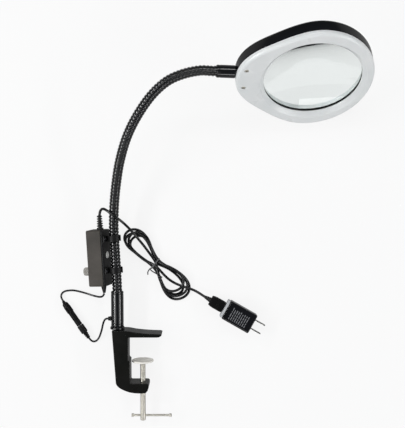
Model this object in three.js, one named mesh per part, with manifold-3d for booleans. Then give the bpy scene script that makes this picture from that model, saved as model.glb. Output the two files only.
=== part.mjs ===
// Clamp-on magnifying lamp, lying on its side: clamp, gooseneck, lens head, dimmer box, cords, adapter.
// Millimetres, +Z up from the surface it lies on, +Y from the clamp towards the head.
import * as THREE from "three";
import Module from "manifold-3d";
import { mergeVertices } from "three/addons/utils/BufferGeometryUtils.js";

const wasm = await Module();
wasm.setup();

// ---- driving dimensions -------------------------------------------------------------------
const GAP = 0.3;                          // clearance kept between pieces that touch

// clamp, in its own frame: Y along the neck socket, top face at Y = 0, mid-plane at Z = 0
const CLAMP_AT = new THREE.Vector3(-112.7, -152.4, 19.25);
const CLAMP_TILT = 3.6;                   // degrees the dimmer box lifts the socket off the surface
const CLAMP_WIDTH = 28;
const CLAMP_EDGE = 0.8;                   // rounding of the casting's edges
const JAW_UNDERSIDE = -8.8;
const JAW_TIP = 59;
const LOWER_JAW_TOP = -70;
const LOWER_JAW_END = 42;
const LOWER_JAW_BOTTOM = -84;
const SPINE_INSIDE = 15;
const SPINE_FOOT_INSIDE = 17.2;           // the spine is thicker below the step
const SPINE_STEP = -41;

// clamp screw
const SPINDLE_X = 33.4;
const SPINDLE_RADIUS = 3.5;
const SPINDLE_END = -122.8;
const PAD_TOP = -41.4;
const PAD_RADIUS = 14.5;
const PAD_THICKNESS = 2.2;
const PAD_HUB_RADIUS = 6;
const PAD_HUB_LENGTH = 4.6;
const TOMMY_Y = -116.3;
const TOMMY_RADIUS = 1.5;
const TOMMY_FROM = 18;
const TOMMY_TO = 71.6;
const CAP_LENGTH = 3.2;
const CAP_RADIUS = 2.3;

// neck socket
const SOCKET_RADIUS = 8.25;
const SOCKET_TOP = 50.5;
const SOCKET_PIN_RADIUS = 4;
const SOCKET_PIN_DEPTH = 22;
const COLLAR_RADIUS = 9.5;
const COLLAR_HEIGHT = 3.4;
const NECK_INSERT = 14;                   // length of neck inside the socket
const GROMMET_Y = 14;

// gooseneck
const NECK_RADIUS = 6.5;
const NECK_SIDES = 18;
const FIRST_JOINT = 113;                  // path length from the socket's mouth to the first joint
const JOINT_PITCH = 37;
const LINKS = 6;
const JOINT_GAP = 2.6;
const NECK_STEP = 6;                      // path length per section of a neck tube

// dimmer box, in its own frame: Y along the neck's axis, box on the -X side
const DIMMER_AT = new THREE.Vector3(-2, 95.5, 0.25);
const DIMMER_LEAN = 3.2;
const DIMMER_ROLL = -17;
const BOX_X = -23.3;
const BOX_DEPTH = 23;
const BOX_LENGTH = 74.4;
const BOX_WIDTH = 26;
const BOX_WALL = 2;
const LID_THICKNESS = 2.2;
const CLIP_YS = { lower: -17, upper: 25.2 };
const CLIP_LENGTH = 8;
const KNOB_Y = -18.3;
const KNOB_RADIUS = 5.6;
const KNOB_LENGTH = 11;
const RELIEF_X = -19.3;

// head, in its own frame: +X towards the far end, +Z out of the front, front plane at Z = 0
const HEAD_AT = new THREE.Vector3(138.3, 164.5, 80.8);
const HEAD_TURN = [56.7, 2.3, -5.4];      // degrees about X, Y, Z
const HEAD_FAR = 76.3;
const HEAD_HALF_WIDTH = 82;
const HEAD_NOSE = -97.3;
const HEAD_DEPTH = 25.4;
const SPLIT = 6.4;                        // depth of the opal cover
const WINDOW_RADIUS = 61.7;
const LENS_RADIUS = 63.9;
const LENS_SAG = 6;
const LENS_EDGE_FRONT = -9.1;
const LENS_EDGE_BACK = -12.1;
const LENS_SEAT = -13;
const GASKET_BACK = -8.2;
const GASKET_FRONT = -6.8;
const RIB_RADIUS = 67;                    // outside of the shell's ring wall around the lens
const SHELL_WALL = 2.4;
const FERRULE_RADIUS = 8;
const FERRULE_LENGTH = 23.7;
const STUB_RADIUS = 4.6;
const FERRULE_Z = -13;
const SCREW_X = -86;
const SCREW_Y = 15;

// cords and plugs
const MAIN_CORD = 3.5;
const LINK_CORD = 2.6;
const CORD_SIDES = 8;
const ADAPTER_AT = new THREE.Vector3(49.1, -136.6, 12.1);
const ADAPTER_TURN = -29.6;
const ADAPTER_SIZE = [40, 27, 24];
const END_PLATE = 3.4;
const USB_SHELL = [24, 12, 4.5];
const USB_GRIP = [20, 15.5, 8.4];
const BLADE = [15.5, 1.6, 6.3];
const BLADE_SPACING = 12.7;
const INLINE_PLUG_END = new THREE.Vector3(-187.5, -116.9, 4.8);
const INLINE_JACK_END = new THREE.Vector3(-152.5, -166.7, 4.8);
const INLINE_RADIUS = 4.5;

// ---- colours --------------------------------------------------------------------------------
const paint = (color, roughness, metalness = 0) =>
  new THREE.MeshStandardMaterial({ color, roughness, metalness });
const BLACK_CAST = () => paint("#1b1c1a", 0.45);
const BLACK_NECK = () => paint("#141414", 0.35, 0.3);
const BLACK_PLASTIC = () => paint("#151516", 0.3);
const GREY_PLASTIC = () => paint("#55524e", 0.5);
const OPAL = () => paint("#dfe1e1", 0.35);
const ZINC = () => paint("#b8b4a8", 0.35, 1);
const GLASS = () => paint("#e9f0ef", 0.05);
const CORD_BLACK = () => paint("#101010", 0.5);

// ---- solids -----------------------------------------------------------------------------------
function toSolid(geometry) {
  const bare = geometry.clone();
  bare.deleteAttribute("normal");
  bare.deleteAttribute("uv");
  const merged = mergeVertices(bare, 1e-3);
  const vertProperties = new Float32Array(merged.attributes.position.array);
  const corners = merged.index.array;
  const kept = [];
  for (let i = 0; i < corners.length; i += 3) {
    const [a, b, c] = corners.slice(i, i + 3);
    if (a !== b && b !== c && c !== a) kept.push(a, b, c);   // a lathe's poles have empty triangles
  }
  const triVerts = new Uint32Array(kept);
  return new wasm.Manifold(new wasm.Mesh({ numProp: 3, vertProperties, triVerts }));
}

function toGeometry(solid) {
  const mesh = solid.getMesh();
  const geometry = new THREE.BufferGeometry();
  geometry.setAttribute("position", new THREE.BufferAttribute(new Float32Array(mesh.vertProperties), 3));
  geometry.setIndex(new THREE.BufferAttribute(new Uint32Array(mesh.triVerts), 1));
  geometry.computeVertexNormals();
  return geometry;
}

function cut(geometry, ...tools) {
  let solid = toSolid(geometry);
  for (const tool of tools) {
    solid = solid.subtract(toSolid(tool));
  }
  return toGeometry(solid);
}

function join(geometry, ...more) {
  let solid = toSolid(geometry);
  for (const piece of more) {
    solid = solid.add(toSolid(piece));
  }
  return toGeometry(solid);
}

function box(x0, x1, y0, y1, z0, z1) {
  const geometry = new THREE.BoxGeometry(x1 - x0, y1 - y0, z1 - z0);
  return geometry.translate((x0 + x1) / 2, (y0 + y1) / 2, (z0 + z1) / 2);
}

// a turned piece about Y: profile is a list of [radius, y]
function turned(profile, sides = 24) {
  const points = profile.map(([radius, y]) => new THREE.Vector2(radius, y));
  return new THREE.LatheGeometry(points, sides);
}

function rod(radius, y0, y1, sides = 24) {
  return turned([[0, y0], [radius, y0], [radius, y1], [0, y1]], sides);
}

function rodX(radius, x0, x1, y, z, sides = 24) {
  return rod(radius, x0, x1, sides).rotateZ(-Math.PI / 2).translate(0, y, z);
}

function rodZ(radius, z0, z1, x, y, sides = 24) {
  return rod(radius, z0, z1, sides).rotateX(Math.PI / 2).translate(x, y, 0);
}

// an outline in XY pushed from z0 to z1, with both edges rounded by the given amount
function slab(shape, z0, z1, edge = 0, segments = 12) {
  const options = { depth: z1 - z0 - 2 * edge, curveSegments: segments, bevelEnabled: edge > 0,
    bevelThickness: edge, bevelSize: edge, bevelOffset: -edge, bevelSegments: 2 };
  return new THREE.ExtrudeGeometry(shape, options).translate(0, 0, z0 + edge);
}

function roundedBox(x0, x1, y0, y1, z0, z1, corner) {
  const shape = new THREE.Shape();
  shape.moveTo(x0 + corner, y0);
  shape.lineTo(x1 - corner, y0);
  shape.absarc(x1 - corner, y0 + corner, corner, -Math.PI / 2, 0);
  shape.absarc(x1 - corner, y1 - corner, corner, 0, Math.PI / 2);
  shape.absarc(x0 + corner, y1 - corner, corner, Math.PI / 2, Math.PI);
  shape.absarc(x0 + corner, y0 + corner, corner, Math.PI, 1.5 * Math.PI);
  return slab(shape, z0, z1, 0, 3);
}

function tube(curve, radius, steps, sides) {
  const section = new THREE.Shape();
  for (let i = 0; i < sides; i += 1) {
    const angle = (2 * Math.PI * i) / sides;
    const point = [radius * Math.cos(angle), radius * Math.sin(angle)];
    if (i === 0) section.moveTo(...point);
    else section.lineTo(...point);
  }
  section.closePath();
  return new THREE.ExtrudeGeometry(section, { steps, extrudePath: curve, bevelEnabled: false });
}

function add(parent, name, geometry, material) {
  const mesh = new THREE.Mesh(geometry, material);
  mesh.name = name;
  parent.add(mesh);
  return mesh;
}

function turnedGroup(parent, at, degrees) {
  const group = new THREE.Group();
  group.position.copy(at);
  group.rotation.set(...degrees.map((angle) => THREE.MathUtils.degToRad(angle)));
  parent.add(group);
  return group;
}

const lamp = new THREE.Group();
const clamp = turnedGroup(lamp, CLAMP_AT, [CLAMP_TILT, 0, 0]);
const dimmer = turnedGroup(clamp, DIMMER_AT, [0, 0, DIMMER_LEAN]);
const dimmerBox = turnedGroup(dimmer, new THREE.Vector3(0, 0, 0), [0, DIMMER_ROLL, 0]);
const head = turnedGroup(lamp, HEAD_AT, HEAD_TURN);
const adapter = turnedGroup(lamp, ADAPTER_AT, [0, 0, ADAPTER_TURN]);
lamp.updateMatrixWorld(true);

// ---- clamp ------------------------------------------------------------------------------------
function clampFrame() {
  const shape = new THREE.Shape();
  shape.moveTo(-6.2, 0);
  shape.lineTo(-1.3, LOWER_JAW_TOP);
  shape.quadraticCurveTo(1, -77, 15.9, -81.6);
  shape.quadraticCurveTo(26, LOWER_JAW_BOTTOM, 37.5, -82.8);
  shape.quadraticCurveTo(41.6, -80, LOWER_JAW_END, LOWER_JAW_TOP + 1.5);
  shape.lineTo(LOWER_JAW_END - 2, LOWER_JAW_TOP);
  shape.lineTo(SPINE_FOOT_INSIDE, LOWER_JAW_TOP);
  shape.lineTo(SPINE_FOOT_INSIDE, SPINE_STEP);
  shape.lineTo(SPINE_INSIDE, SPINE_STEP + 2);
  shape.lineTo(SPINE_INSIDE, JAW_UNDERSIDE);
  shape.lineTo(52, JAW_UNDERSIDE);
  shape.quadraticCurveTo(57, JAW_UNDERSIDE, JAW_TIP, -6);
  shape.quadraticCurveTo(JAW_TIP + 0.4, -4.4, 56, -4.2);
  shape.quadraticCurveTo(36, -3.8, 22, -1.6);
  shape.quadraticCurveTo(15, 0, 10.4, 0);
  shape.closePath();
  const half = CLAMP_WIDTH / 2;
  const body = slab(shape, -half, half, CLAMP_EDGE, 5);
  const screwHole = rod(SPINDLE_RADIUS + GAP, -90, -60).translate(SPINDLE_X, 0, 0);
  const pinHole = rod(SOCKET_PIN_RADIUS + GAP, -SOCKET_PIN_DEPTH - 1, 5);
  const grubHole = rodZ(2.5 + GAP, -half - 2, 0, 0, -12, 16);
  return cut(body, screwHole, pinHole, grubHole);
}

function neckSocket() {
  const profile = [[0, -SOCKET_PIN_DEPTH], [SOCKET_PIN_RADIUS, -SOCKET_PIN_DEPTH], [SOCKET_PIN_RADIUS, GAP],
    [SOCKET_RADIUS, GAP], [SOCKET_RADIUS, SOCKET_TOP], [NECK_RADIUS + GAP, SOCKET_TOP],
    [NECK_RADIUS + GAP, SOCKET_TOP - NECK_INSERT - 1], [0, SOCKET_TOP - NECK_INSERT - 1]];
  const cordHole = rodX(2.3, -20, -5.5, GROMMET_Y, 0, 12);
  return cut(turned(profile, 28), cordHole);
}

function addClamp() {
  add(clamp, "clamp_frame", clampFrame(), BLACK_CAST());
  add(clamp, "neck_socket", neckSocket(), BLACK_PLASTIC());
  const inner = SOCKET_RADIUS + GAP;
  const ring = [[inner, GAP], [COLLAR_RADIUS, GAP], [COLLAR_RADIUS, COLLAR_HEIGHT - 1],
    [COLLAR_RADIUS - 0.6, COLLAR_HEIGHT], [inner, COLLAR_HEIGHT], [inner, GAP]];
  add(clamp, "socket_collar", turned(ring, 28), BLACK_PLASTIC());
  const half = CLAMP_WIDTH / 2;
  add(clamp, "grub_screw", rodZ(2.5, -half + 0.6, -SOCKET_PIN_RADIUS - GAP, 0, -12, 16), ZINC());
  const grommet = turned([[0, -12.4], [2.6, -12.4], [3.2, -8.7], [2, -8.7], [2, -6.2], [0, -6.2]], 16);
  grommet.rotateZ(-Math.PI / 2).translate(0, GROMMET_Y, 0);
  add(clamp, "cord_grommet", grommet, BLACK_PLASTIC());
}

function addClampScrew() {
  const hubBottom = PAD_TOP - PAD_HUB_LENGTH;
  const ball = SPINDLE_RADIUS + GAP;
  const pad = turned([[0, hubBottom + 2.4], [ball, hubBottom + 2.4], [ball, hubBottom],
    [PAD_HUB_RADIUS, hubBottom], [PAD_HUB_RADIUS, PAD_TOP - PAD_THICKNESS],
    [PAD_RADIUS - 0.5, PAD_TOP - PAD_THICKNESS], [PAD_RADIUS, PAD_TOP - PAD_THICKNESS + 0.5],
    [PAD_RADIUS, PAD_TOP - 0.5], [PAD_RADIUS - 0.5, PAD_TOP], [0, PAD_TOP]], 28);
  pad.translate(SPINDLE_X, 0, 0);
  add(clamp, "swivel_pad", pad, ZINC());
  const screw = rod(SPINDLE_RADIUS, SPINDLE_END, hubBottom + 2.4 - GAP, 20).translate(SPINDLE_X, 0, 0);
  const barHole = rodX(TOMMY_RADIUS + GAP, SPINDLE_X - 10, SPINDLE_X + 10, TOMMY_Y, 0, 12);
  add(clamp, "clamp_spindle", cut(screw, barHole), ZINC());
  const bar = rodX(TOMMY_RADIUS, TOMMY_FROM + 1.2, TOMMY_TO - 1.2, TOMMY_Y, 0, 12);
  add(clamp, "tommy_bar", bar, ZINC());
  const bore = TOMMY_RADIUS + GAP;
  const cap = [[0, 0], [CAP_RADIUS - 0.5, 0], [CAP_RADIUS, 0.5], [CAP_RADIUS, CAP_LENGTH], [bore, CAP_LENGTH],
    [bore, 0.9], [0, 0.9]];
  const left = turned(cap, 14).rotateZ(-Math.PI / 2).translate(TOMMY_FROM, TOMMY_Y, 0);
  const right = turned(cap, 14).rotateZ(Math.PI / 2).translate(TOMMY_TO, TOMMY_Y, 0);
  add(clamp, "tommy_cap_left", left, ZINC());
  add(clamp, "tommy_cap_right", right, ZINC());
}

// ---- gooseneck ----------------------------------------------------------------------------------
function onClamp(x, y, z) {
  return clamp.localToWorld(new THREE.Vector3(x, y, z));
}

function onDimmer(y) {
  return dimmer.localToWorld(new THREE.Vector3(0, y, 0));
}

function onHead(x) {
  return head.localToWorld(new THREE.Vector3(x, 0, FERRULE_Z));
}

// the neck's centre line: straight in the socket and along the box, then a rising arc to the head
const neckPath = new THREE.CatmullRomCurve3([
  onClamp(0, SOCKET_TOP - NECK_INSERT, 0),
  onClamp(0, SOCKET_TOP, 0),
  onDimmer(-24),
  onDimmer(-8),
  onDimmer(10),
  onDimmer(34),
  new THREE.Vector3(-116.6, -6, 28.9),
  new THREE.Vector3(-115.6, 14, 31.6),
  new THREE.Vector3(-112.6, 39, 37.2),
  new THREE.Vector3(-107, 68, 45.8),
  new THREE.Vector3(-96.3, 99.7, 57),
  new THREE.Vector3(-81, 127, 67.8),
  new THREE.Vector3(-62, 151, 77),
  new THREE.Vector3(-43.4, 166, 82.8),
  new THREE.Vector3(-24.2, 173.9, 86),
  onHead(HEAD_NOSE - FERRULE_LENGTH - 20),
  onHead(HEAD_NOSE - FERRULE_LENGTH - 6),
  onHead(HEAD_NOSE - FERRULE_LENGTH),
]);
neckPath.arcLengthDivisions = 800;
const neckLength = neckPath.getLength();

function neckPiece(from, to) {
  const steps = Math.max(2, Math.round((to - from) / NECK_STEP));
  const points = [];
  for (let i = 0; i <= steps; i += 1) {
    points.push(neckPath.getPointAt((from + ((to - from) * i) / steps) / neckLength));
  }
  return tube(new THREE.CatmullRomCurve3(points), NECK_RADIUS, steps, NECK_SIDES);
}

function addNeck() {
  const first = NECK_INSERT + FIRST_JOINT;
  add(lamp, "neck_base", neckPiece(0, first - JOINT_GAP / 2), BLACK_NECK());
  for (let i = 0; i < LINKS; i += 1) {
    const from = first + i * JOINT_PITCH + JOINT_GAP / 2;
    add(lamp, `neck_link_${i + 1}`, neckPiece(from, from + JOINT_PITCH - JOINT_GAP), BLACK_NECK());
  }
  const last = first + LINKS * JOINT_PITCH + JOINT_GAP / 2;
  add(lamp, "neck_end", neckPiece(last, neckLength - GAP), BLACK_NECK());
}

// ---- head -----------------------------------------------------------------------------------------
// egg outline: half an ellipse at the far end, drawn in to a blunt nose at the neck
function headOutline(inset) {
  const far = HEAD_FAR - inset;
  const half = HEAD_HALF_WIDTH - inset;
  const nose = HEAD_NOSE + inset;
  const shape = new THREE.Shape();
  shape.moveTo(0, -half);
  shape.absellipse(0, 0, far, half, -Math.PI / 2, Math.PI / 2);
  shape.bezierCurveTo(-21, half, -41.5, half - 13.4, -57.2, half - 24.1);
  shape.bezierCurveTo(-73, half - 34.8, nose, 32, nose, 0);
  shape.bezierCurveTo(nose, -32, -73, 34.8 - half, -57.2, 24.1 - half);
  shape.bezierCurveTo(-41.5, 13.4 - half, -21, -half, 0, -half);
  return shape;
}

function disc(radius, z0, z1, sides = 36) {
  return rodZ(radius, z0, z1, 0, 0, sides);
}

function frontCover() {
  const edge = 3.6;
  const whole = slab(headOutline(0), -SPLIT - 8, 0, edge, 8);
  const below = box(-120, 100, -100, 100, -30, -SPLIT);
  const hollow = cut(slab(headOutline(2.6), -SPLIT - 4, -2.2, 0, 8), disc(RIB_RADIUS - 1, -20, 5));
  const window = disc(WINDOW_RADIUS, -30, 5);
  const holes = [-SCREW_Y, SCREW_Y].map((y) => rodZ(2.9, -1.5, 5, SCREW_X, y, 14));
  const shanks = [-SCREW_Y, SCREW_Y].map((y) => rodZ(1.7, -10, 5, SCREW_X, y, 12));
  const posts = [-SCREW_Y, SCREW_Y].map((y) => rodZ(4.2, -SPLIT, -1, SCREW_X, y, 14));
  const shell = cut(whole, below, hollow, window);
  return cut(join(shell, ...posts), ...holes, ...shanks);
}

function rearShell() {
  const whole = slab(headOutline(0), -HEAD_DEPTH, -SPLIT + 8, 4, 8);
  const above = box(-120, 100, -100, 100, -SPLIT - GAP, 30);
  const hollow = cut(slab(headOutline(SHELL_WALL), -HEAD_DEPTH + SHELL_WALL, 5, 0, 8),
    disc(RIB_RADIUS, -40, 10));
  const seat = disc(LENS_RADIUS + 2 * GAP, LENS_SEAT, 10);
  const bore = disc(WINDOW_RADIUS, -40, 10);
  const posts = [-SCREW_Y, SCREW_Y].map((y) =>
    rodZ(4.2, -HEAD_DEPTH + 1, -SPLIT - GAP, SCREW_X, y, 14));
  const holes = [-SCREW_Y, SCREW_Y].map((y) => rodZ(1.7, -20, 5, SCREW_X, y, 12));
  const neckHole = rodX(STUB_RADIUS + GAP, -110, -80, 0, FERRULE_Z, 16);
  return cut(join(cut(whole, above, hollow, seat, bore), ...posts), ...holes, neckHole);
}

function lens() {
  const profile = [];
  const steps = 5;
  const rim = LENS_RADIUS;
  for (let i = 0; i <= steps; i += 1) {
    const r = (rim * i) / steps;
    profile.push([r, LENS_EDGE_BACK - LENS_SAG * (1 - (r / rim) ** 2)]);
  }
  for (let i = steps; i >= 0; i -= 1) {
    const r = (rim * i) / steps;
    profile.push([r, LENS_EDGE_FRONT + LENS_SAG * (1 - (r / rim) ** 2)]);
  }
  return turned(profile, 36).rotateX(Math.PI / 2);
}

function ledBoard() {
  const inner = RIB_RADIUS + GAP;
  const outer = HEAD_FAR - SHELL_WALL - 1;
  const ring = turned([[inner, -9.6], [outer, -9.6], [outer, -8], [inner, -8], [inner, -9.6]], 36);
  ring.rotateX(Math.PI / 2);
  const leds = [];
  const count = 24;
  for (let i = 0; i < count; i += 1) {
    const chip = box(68.6, 71.4, -1.75, 1.75, -8.3, -7);
    leds.push(chip.rotateZ((2 * Math.PI * (i + 0.5)) / count));
  }
  return join(ring, ...leds);
}

function addHead() {
  add(head, "rear_shell", rearShell(), BLACK_PLASTIC());
  add(head, "front_cover", frontCover(), OPAL());
  add(head, "magnifier_lens", lens(), GLASS());
  const gasket = [[WINDOW_RADIUS - 0.5, GASKET_BACK], [LENS_RADIUS - 0.2, GASKET_BACK],
    [LENS_RADIUS - 0.2, GASKET_FRONT], [WINDOW_RADIUS - 0.5, GASKET_FRONT],
    [WINDOW_RADIUS - 0.5, GASKET_BACK]];
  add(head, "lens_gasket", turned(gasket, 36).rotateX(Math.PI / 2), BLACK_PLASTIC());
  add(head, "led_board", ledBoard(), paint("#e8e8e2", 0.5));
  const screw = [[0, -13], [1.3, -13], [1.3, -1.2], [2.5, -1.2], [2.5, -0.3], [0, -0.3]];
  for (const [name, y] of [["cover_screw_low", -SCREW_Y], ["cover_screw_high", SCREW_Y]]) {
    add(head, name, turned(screw, 14).rotateX(Math.PI / 2).translate(SCREW_X, y, 0), ZINC());
  }
  const nose = HEAD_NOSE - GAP;
  const back = nose - FERRULE_LENGTH + GAP;
  const ferrule = turned([[0, back], [FERRULE_RADIUS - 0.8, back], [FERRULE_RADIUS, back + 1.5],
    [FERRULE_RADIUS - 0.3, nose], [STUB_RADIUS, nose], [STUB_RADIUS, HEAD_NOSE + 10], [0, HEAD_NOSE + 10]], 24);
  ferrule.rotateZ(-Math.PI / 2).translate(0, 0, FERRULE_Z);
  add(head, "head_ferrule", ferrule, BLACK_PLASTIC());
  const nutFrom = HEAD_NOSE + SHELL_WALL + 1;
  const nut = cut(rodX(7, nutFrom, nutFrom + 4, 0, FERRULE_Z, 6),
    rodX(STUB_RADIUS + GAP, nutFrom - 5, nutFrom + 9, 0, FERRULE_Z, 16));
  add(head, "neck_nut", nut, ZINC());
}

// ---- dimmer box -------------------------------------------------------------------------------------
function addDimmerShells() {
  const x0 = BOX_X - BOX_DEPTH / 2;
  const x1 = BOX_X + BOX_DEPTH / 2;
  const seam = x1 - LID_THICKNESS;
  const half = BOX_LENGTH / 2;
  const width = BOX_WIDTH / 2;
  const outer = roundedBox(-width, width, -half, half, x0, seam - GAP, 2.4);
  const inner = roundedBox(-width + BOX_WALL, width - BOX_WALL, -half + BOX_WALL, half - BOX_WALL,
    x0 + BOX_WALL, x1, 1);
  // drawn with the box's width along X, then turned so that its depth lies along X
  const shell = cut(outer, inner).rotateY(Math.PI / 2);
  const shaftHole = rodX(3.9, x0 - 5, x0 + 5, KNOB_Y, 0, 16);
  const cordHoles = rod(1.9, -half - 5, half + 5, 12).translate(RELIEF_X, 0, 0);
  add(dimmerBox, "dimmer_case", cut(shell, shaftHole, cordHoles), GREY_PLASTIC());
  const lid = roundedBox(-width, width, -half, half, seam, x1, 2.4).rotateY(Math.PI / 2);
  add(dimmerBox, "dimmer_lid", lid, BLACK_PLASTIC());
  const board = box(seam - 4.4, seam - 2.8, -half + 4, half - 4, -width + 3, width - 3);
  add(dimmerBox, "dimmer_board", board, paint("#2f5a3a", 0.5));
}

function addKnob() {
  const face = BOX_X - BOX_DEPTH / 2;
  const body = box(face + BOX_WALL + GAP, face + BOX_WALL + 8, KNOB_Y - 8, KNOB_Y + 8, -8, 8);
  const shaft = rodX(3, face - 8, face + 5, KNOB_Y, 0, 16);
  add(dimmerBox, "potentiometer", join(body, shaft), ZINC());
  const bore = 3 + GAP;
  const knob = [[0, 0], [KNOB_RADIUS - 0.8, 0], [KNOB_RADIUS, 0.8], [KNOB_RADIUS, KNOB_LENGTH - 0.6],
    [bore, KNOB_LENGTH - 0.6], [bore, 2.4], [0, 2.4]];
  const turnedKnob = turned(knob, 24).rotateZ(-Math.PI / 2).translate(face - KNOB_LENGTH, KNOB_Y, 0);
  add(dimmerBox, "dimmer_knob", turnedKnob, paint("#7d7a76", 0.45));
}

function addClips() {
  const face = BOX_X + BOX_DEPTH / 2 + GAP;
  for (const [name, y] of Object.entries(CLIP_YS)) {
    const y0 = y - CLIP_LENGTH / 2;
    const y1 = y + CLIP_LENGTH / 2;
    const ring = rod(NECK_RADIUS + 2.3, y0, y1, 28);
    const plate = box(face, face + 2, y0, y1, -6, 11.5);
    const web = box(face + 0.5, -5, y0, y1, -4.5, 4.5);
    const bore = rod(NECK_RADIUS + 0.5, y0 - 1, y1 + 1, 28);
    const mouth = box(3, 14, y0 - 1, y1 + 1, -4, 4);
    const hole = rodX(1.6, face - 1, face + 4, y, 8.6, 12);
    add(dimmerBox, `neck_clip_${name}`, cut(join(ring, plate, web), bore, mouth, hole), BLACK_PLASTIC());
    const screw = turned([[0, face + 0.2], [1.2, face + 0.2], [1.2, face + 2 + GAP], [2.4, face + 2 + GAP],
      [2.1, face + 3.6], [0, face + 3.6]], 14);
    add(dimmerBox, `clip_screw_${name}`, screw.rotateZ(-Math.PI / 2).translate(0, y, 8.6), ZINC());
  }
}

function addReliefs() {
  const half = BOX_LENGTH / 2;
  const top = [[0, 0.4], [4.2, 0.4], [4.2, 3]];
  for (let i = 0; i < 4; i += 1) {
    const y = 4 + i * 3.4;
    const r = 4.1 - i * 0.4;
    top.push([r - 1, y], [r - 1, y + 1], [r, y + 1], [r, y + 2.6]);
  }
  top.push([2.4, 18], [2.2, 19], [0, 19]);
  add(dimmerBox, "main_cord_relief", turned(top, 12).translate(RELIEF_X, half, 0), BLACK_PLASTIC());
  const low = [[0, -10], [1.9, -10], [3.6, -0.4], [0, -0.4]];
  add(dimmerBox, "link_cord_relief", turned(low, 16).translate(RELIEF_X, -half, 0), BLACK_PLASTIC());
  const label = rodX(4.6, BOX_X + BOX_DEPTH / 2 + GAP, BOX_X + BOX_DEPTH / 2 + 0.7, 3.5, 0, 24);
  add(dimmerBox, "round_label", label, paint("#f1f1ee", 0.6));
}

// ---- cords ---------------------------------------------------------------------------------------------
const points = (list) => list.map((p) => new THREE.Vector3(...p));

const MAIN_LEAD = points([[-136.5, -1.1, 23.4], [-136.9, 2.2, 24.2], [-136.2, 5.6, 26.2], [-132.6, 7.6, 29.6],
  [-127.4, 6.2, 33.8], [-121.6, 2.2, 37.6], [-114.6, -2.8, 38.8], [-107.4, -8.2, 35.4],
  [-101.2, -14.2, 28.6], [-95.6, -20.8, 20.6], [-90.4, -27.4, 14.4], [-84.8, -34.6, 11.6]]);
const MAIN_TAIL = points([[-12.6, -101.2, 2.2], [-9.4, -102.6, 3.2], [-6.2, -104.6, 6.4], [-3.2, -106.6, 9.8],
  [-0.4, -108.4, 11.7], [2.5, -110.1, 12.1]]);
const LINK_UPPER = points([[-188.3, -115.4, 4.6], [-190.2, -111.6, 3.2], [-189.6, -107.4, 2],
  [-186, -104.4, 1.5], [-180.6, -103.2, 1.5], [-173.6, -103, 1.6], [-165, -104.6, 2.2],
  [-157, -106.6, 3.6], [-149.6, -108.6, 6.2], [-143, -110, 9.4], [-136.8, -110.6, 12.8],
  [-132.6, -109.2, 15.6], [-130.6, -105.8, 16.8]]);
const LINK_LOWER = points([[-151.8, -167.5, 4.6], [-149.4, -170.4, 3.4], [-146.2, -171.8, 2.2],
  [-142.8, -170.6, 1.8], [-139.6, -166.8, 2.6], [-136.8, -160.6, 5.6], [-134.4, -153.6, 10.4],
  [-132.6, -147.2, 14.8], [-130.6, -142, 18.2], [-128.2, -139, 19.8], [-125.6, -138.5, 20.1]]);
const HANK_OUTLINE = [[-107.4, -33.2], [-104, -22.2], [-90, -17.6], [-77.3, -25.6], [-70.8, -40], [-60.6, -58.6],
  [-45.9, -68.6], [-29.5, -79], [-17.2, -92.2], [-14.6, -104], [-22, -112.4], [-36.4, -118.5],
  [-47.5, -113], [-56, -98.7], [-61.6, -81.6], [-77, -62.6], [-95.1, -47]];
const HANK_BOTTOM = 0.1;
const HANK_TOP = 9.4;

function addHank() {
  const outline = new THREE.Shape();
  const loop = new THREE.CatmullRomCurve3(HANK_OUTLINE.map(([x, y]) => new THREE.Vector3(x, y, 0)), true);
  const sides = 34;
  for (let i = 0; i < sides; i += 1) {
    const p = loop.getPointAt(i / sides);
    if (i === 0) outline.moveTo(p.x, p.y);
    else outline.lineTo(p.x, p.y);
  }
  outline.closePath();
  add(lamp, "cord_hank", slab(outline, HANK_BOTTOM, HANK_TOP), CORD_BLACK());
  const outside = box(-13.4, 13.4, -2, 2, 0.2, HANK_TOP + 1.6);
  const inside = box(-12.2, 12.2, -4, 4, -1, HANK_TOP + GAP);
  const tie = cut(outside, inside).rotateZ(THREE.MathUtils.degToRad(52)).translate(-63.4, -66.4, 0);
  add(lamp, "hank_tie", tie, CORD_BLACK());
}

function addCords() {
  const cords = [["main_cord_lead", MAIN_LEAD, MAIN_CORD, 14], ["main_cord_tail", MAIN_TAIL, MAIN_CORD, 4],
    ["link_cord_upper", LINK_UPPER, LINK_CORD, 14], ["link_cord_lower", LINK_LOWER, LINK_CORD, 12]];
  for (const [name, route, diameter, steps] of cords) {
    const curve = new THREE.CatmullRomCurve3(route);
    add(lamp, name, tube(curve, diameter / 2, steps, CORD_SIDES), CORD_BLACK());
  }
  addHank();
}

// plug and jack of the in-line connector, one behind the other on one axis
function addInlineConnector() {
  const along = INLINE_JACK_END.clone().sub(INLINE_PLUG_END);
  const length = along.length();
  const angle = Math.atan2(along.y, along.x) - Math.PI / 2;
  const r = INLINE_RADIUS;
  const plugLength = 40;
  const plug = turned([[0, 0], [2, 0], [2.6, 4], [r - 0.7, 4.4], [r - 0.2, 9], [r, 9.4], [r, 18], [r - 0.5, 18.6],
    [r - 0.5, plugLength - GAP], [0, plugLength - GAP]], 20);
  const jack = turned([[0, plugLength], [r, plugLength], [r, plugLength + 11], [3, plugLength + 12.5],
    [2, length], [0, length]], 20);
  for (const [name, geometry] of [["inline_plug", plug], ["inline_jack", jack]]) {
    geometry.rotateZ(angle).translate(INLINE_PLUG_END.x, INLINE_PLUG_END.y, INLINE_PLUG_END.z);
    add(lamp, name, geometry, BLACK_PLASTIC());
  }
}

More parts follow.
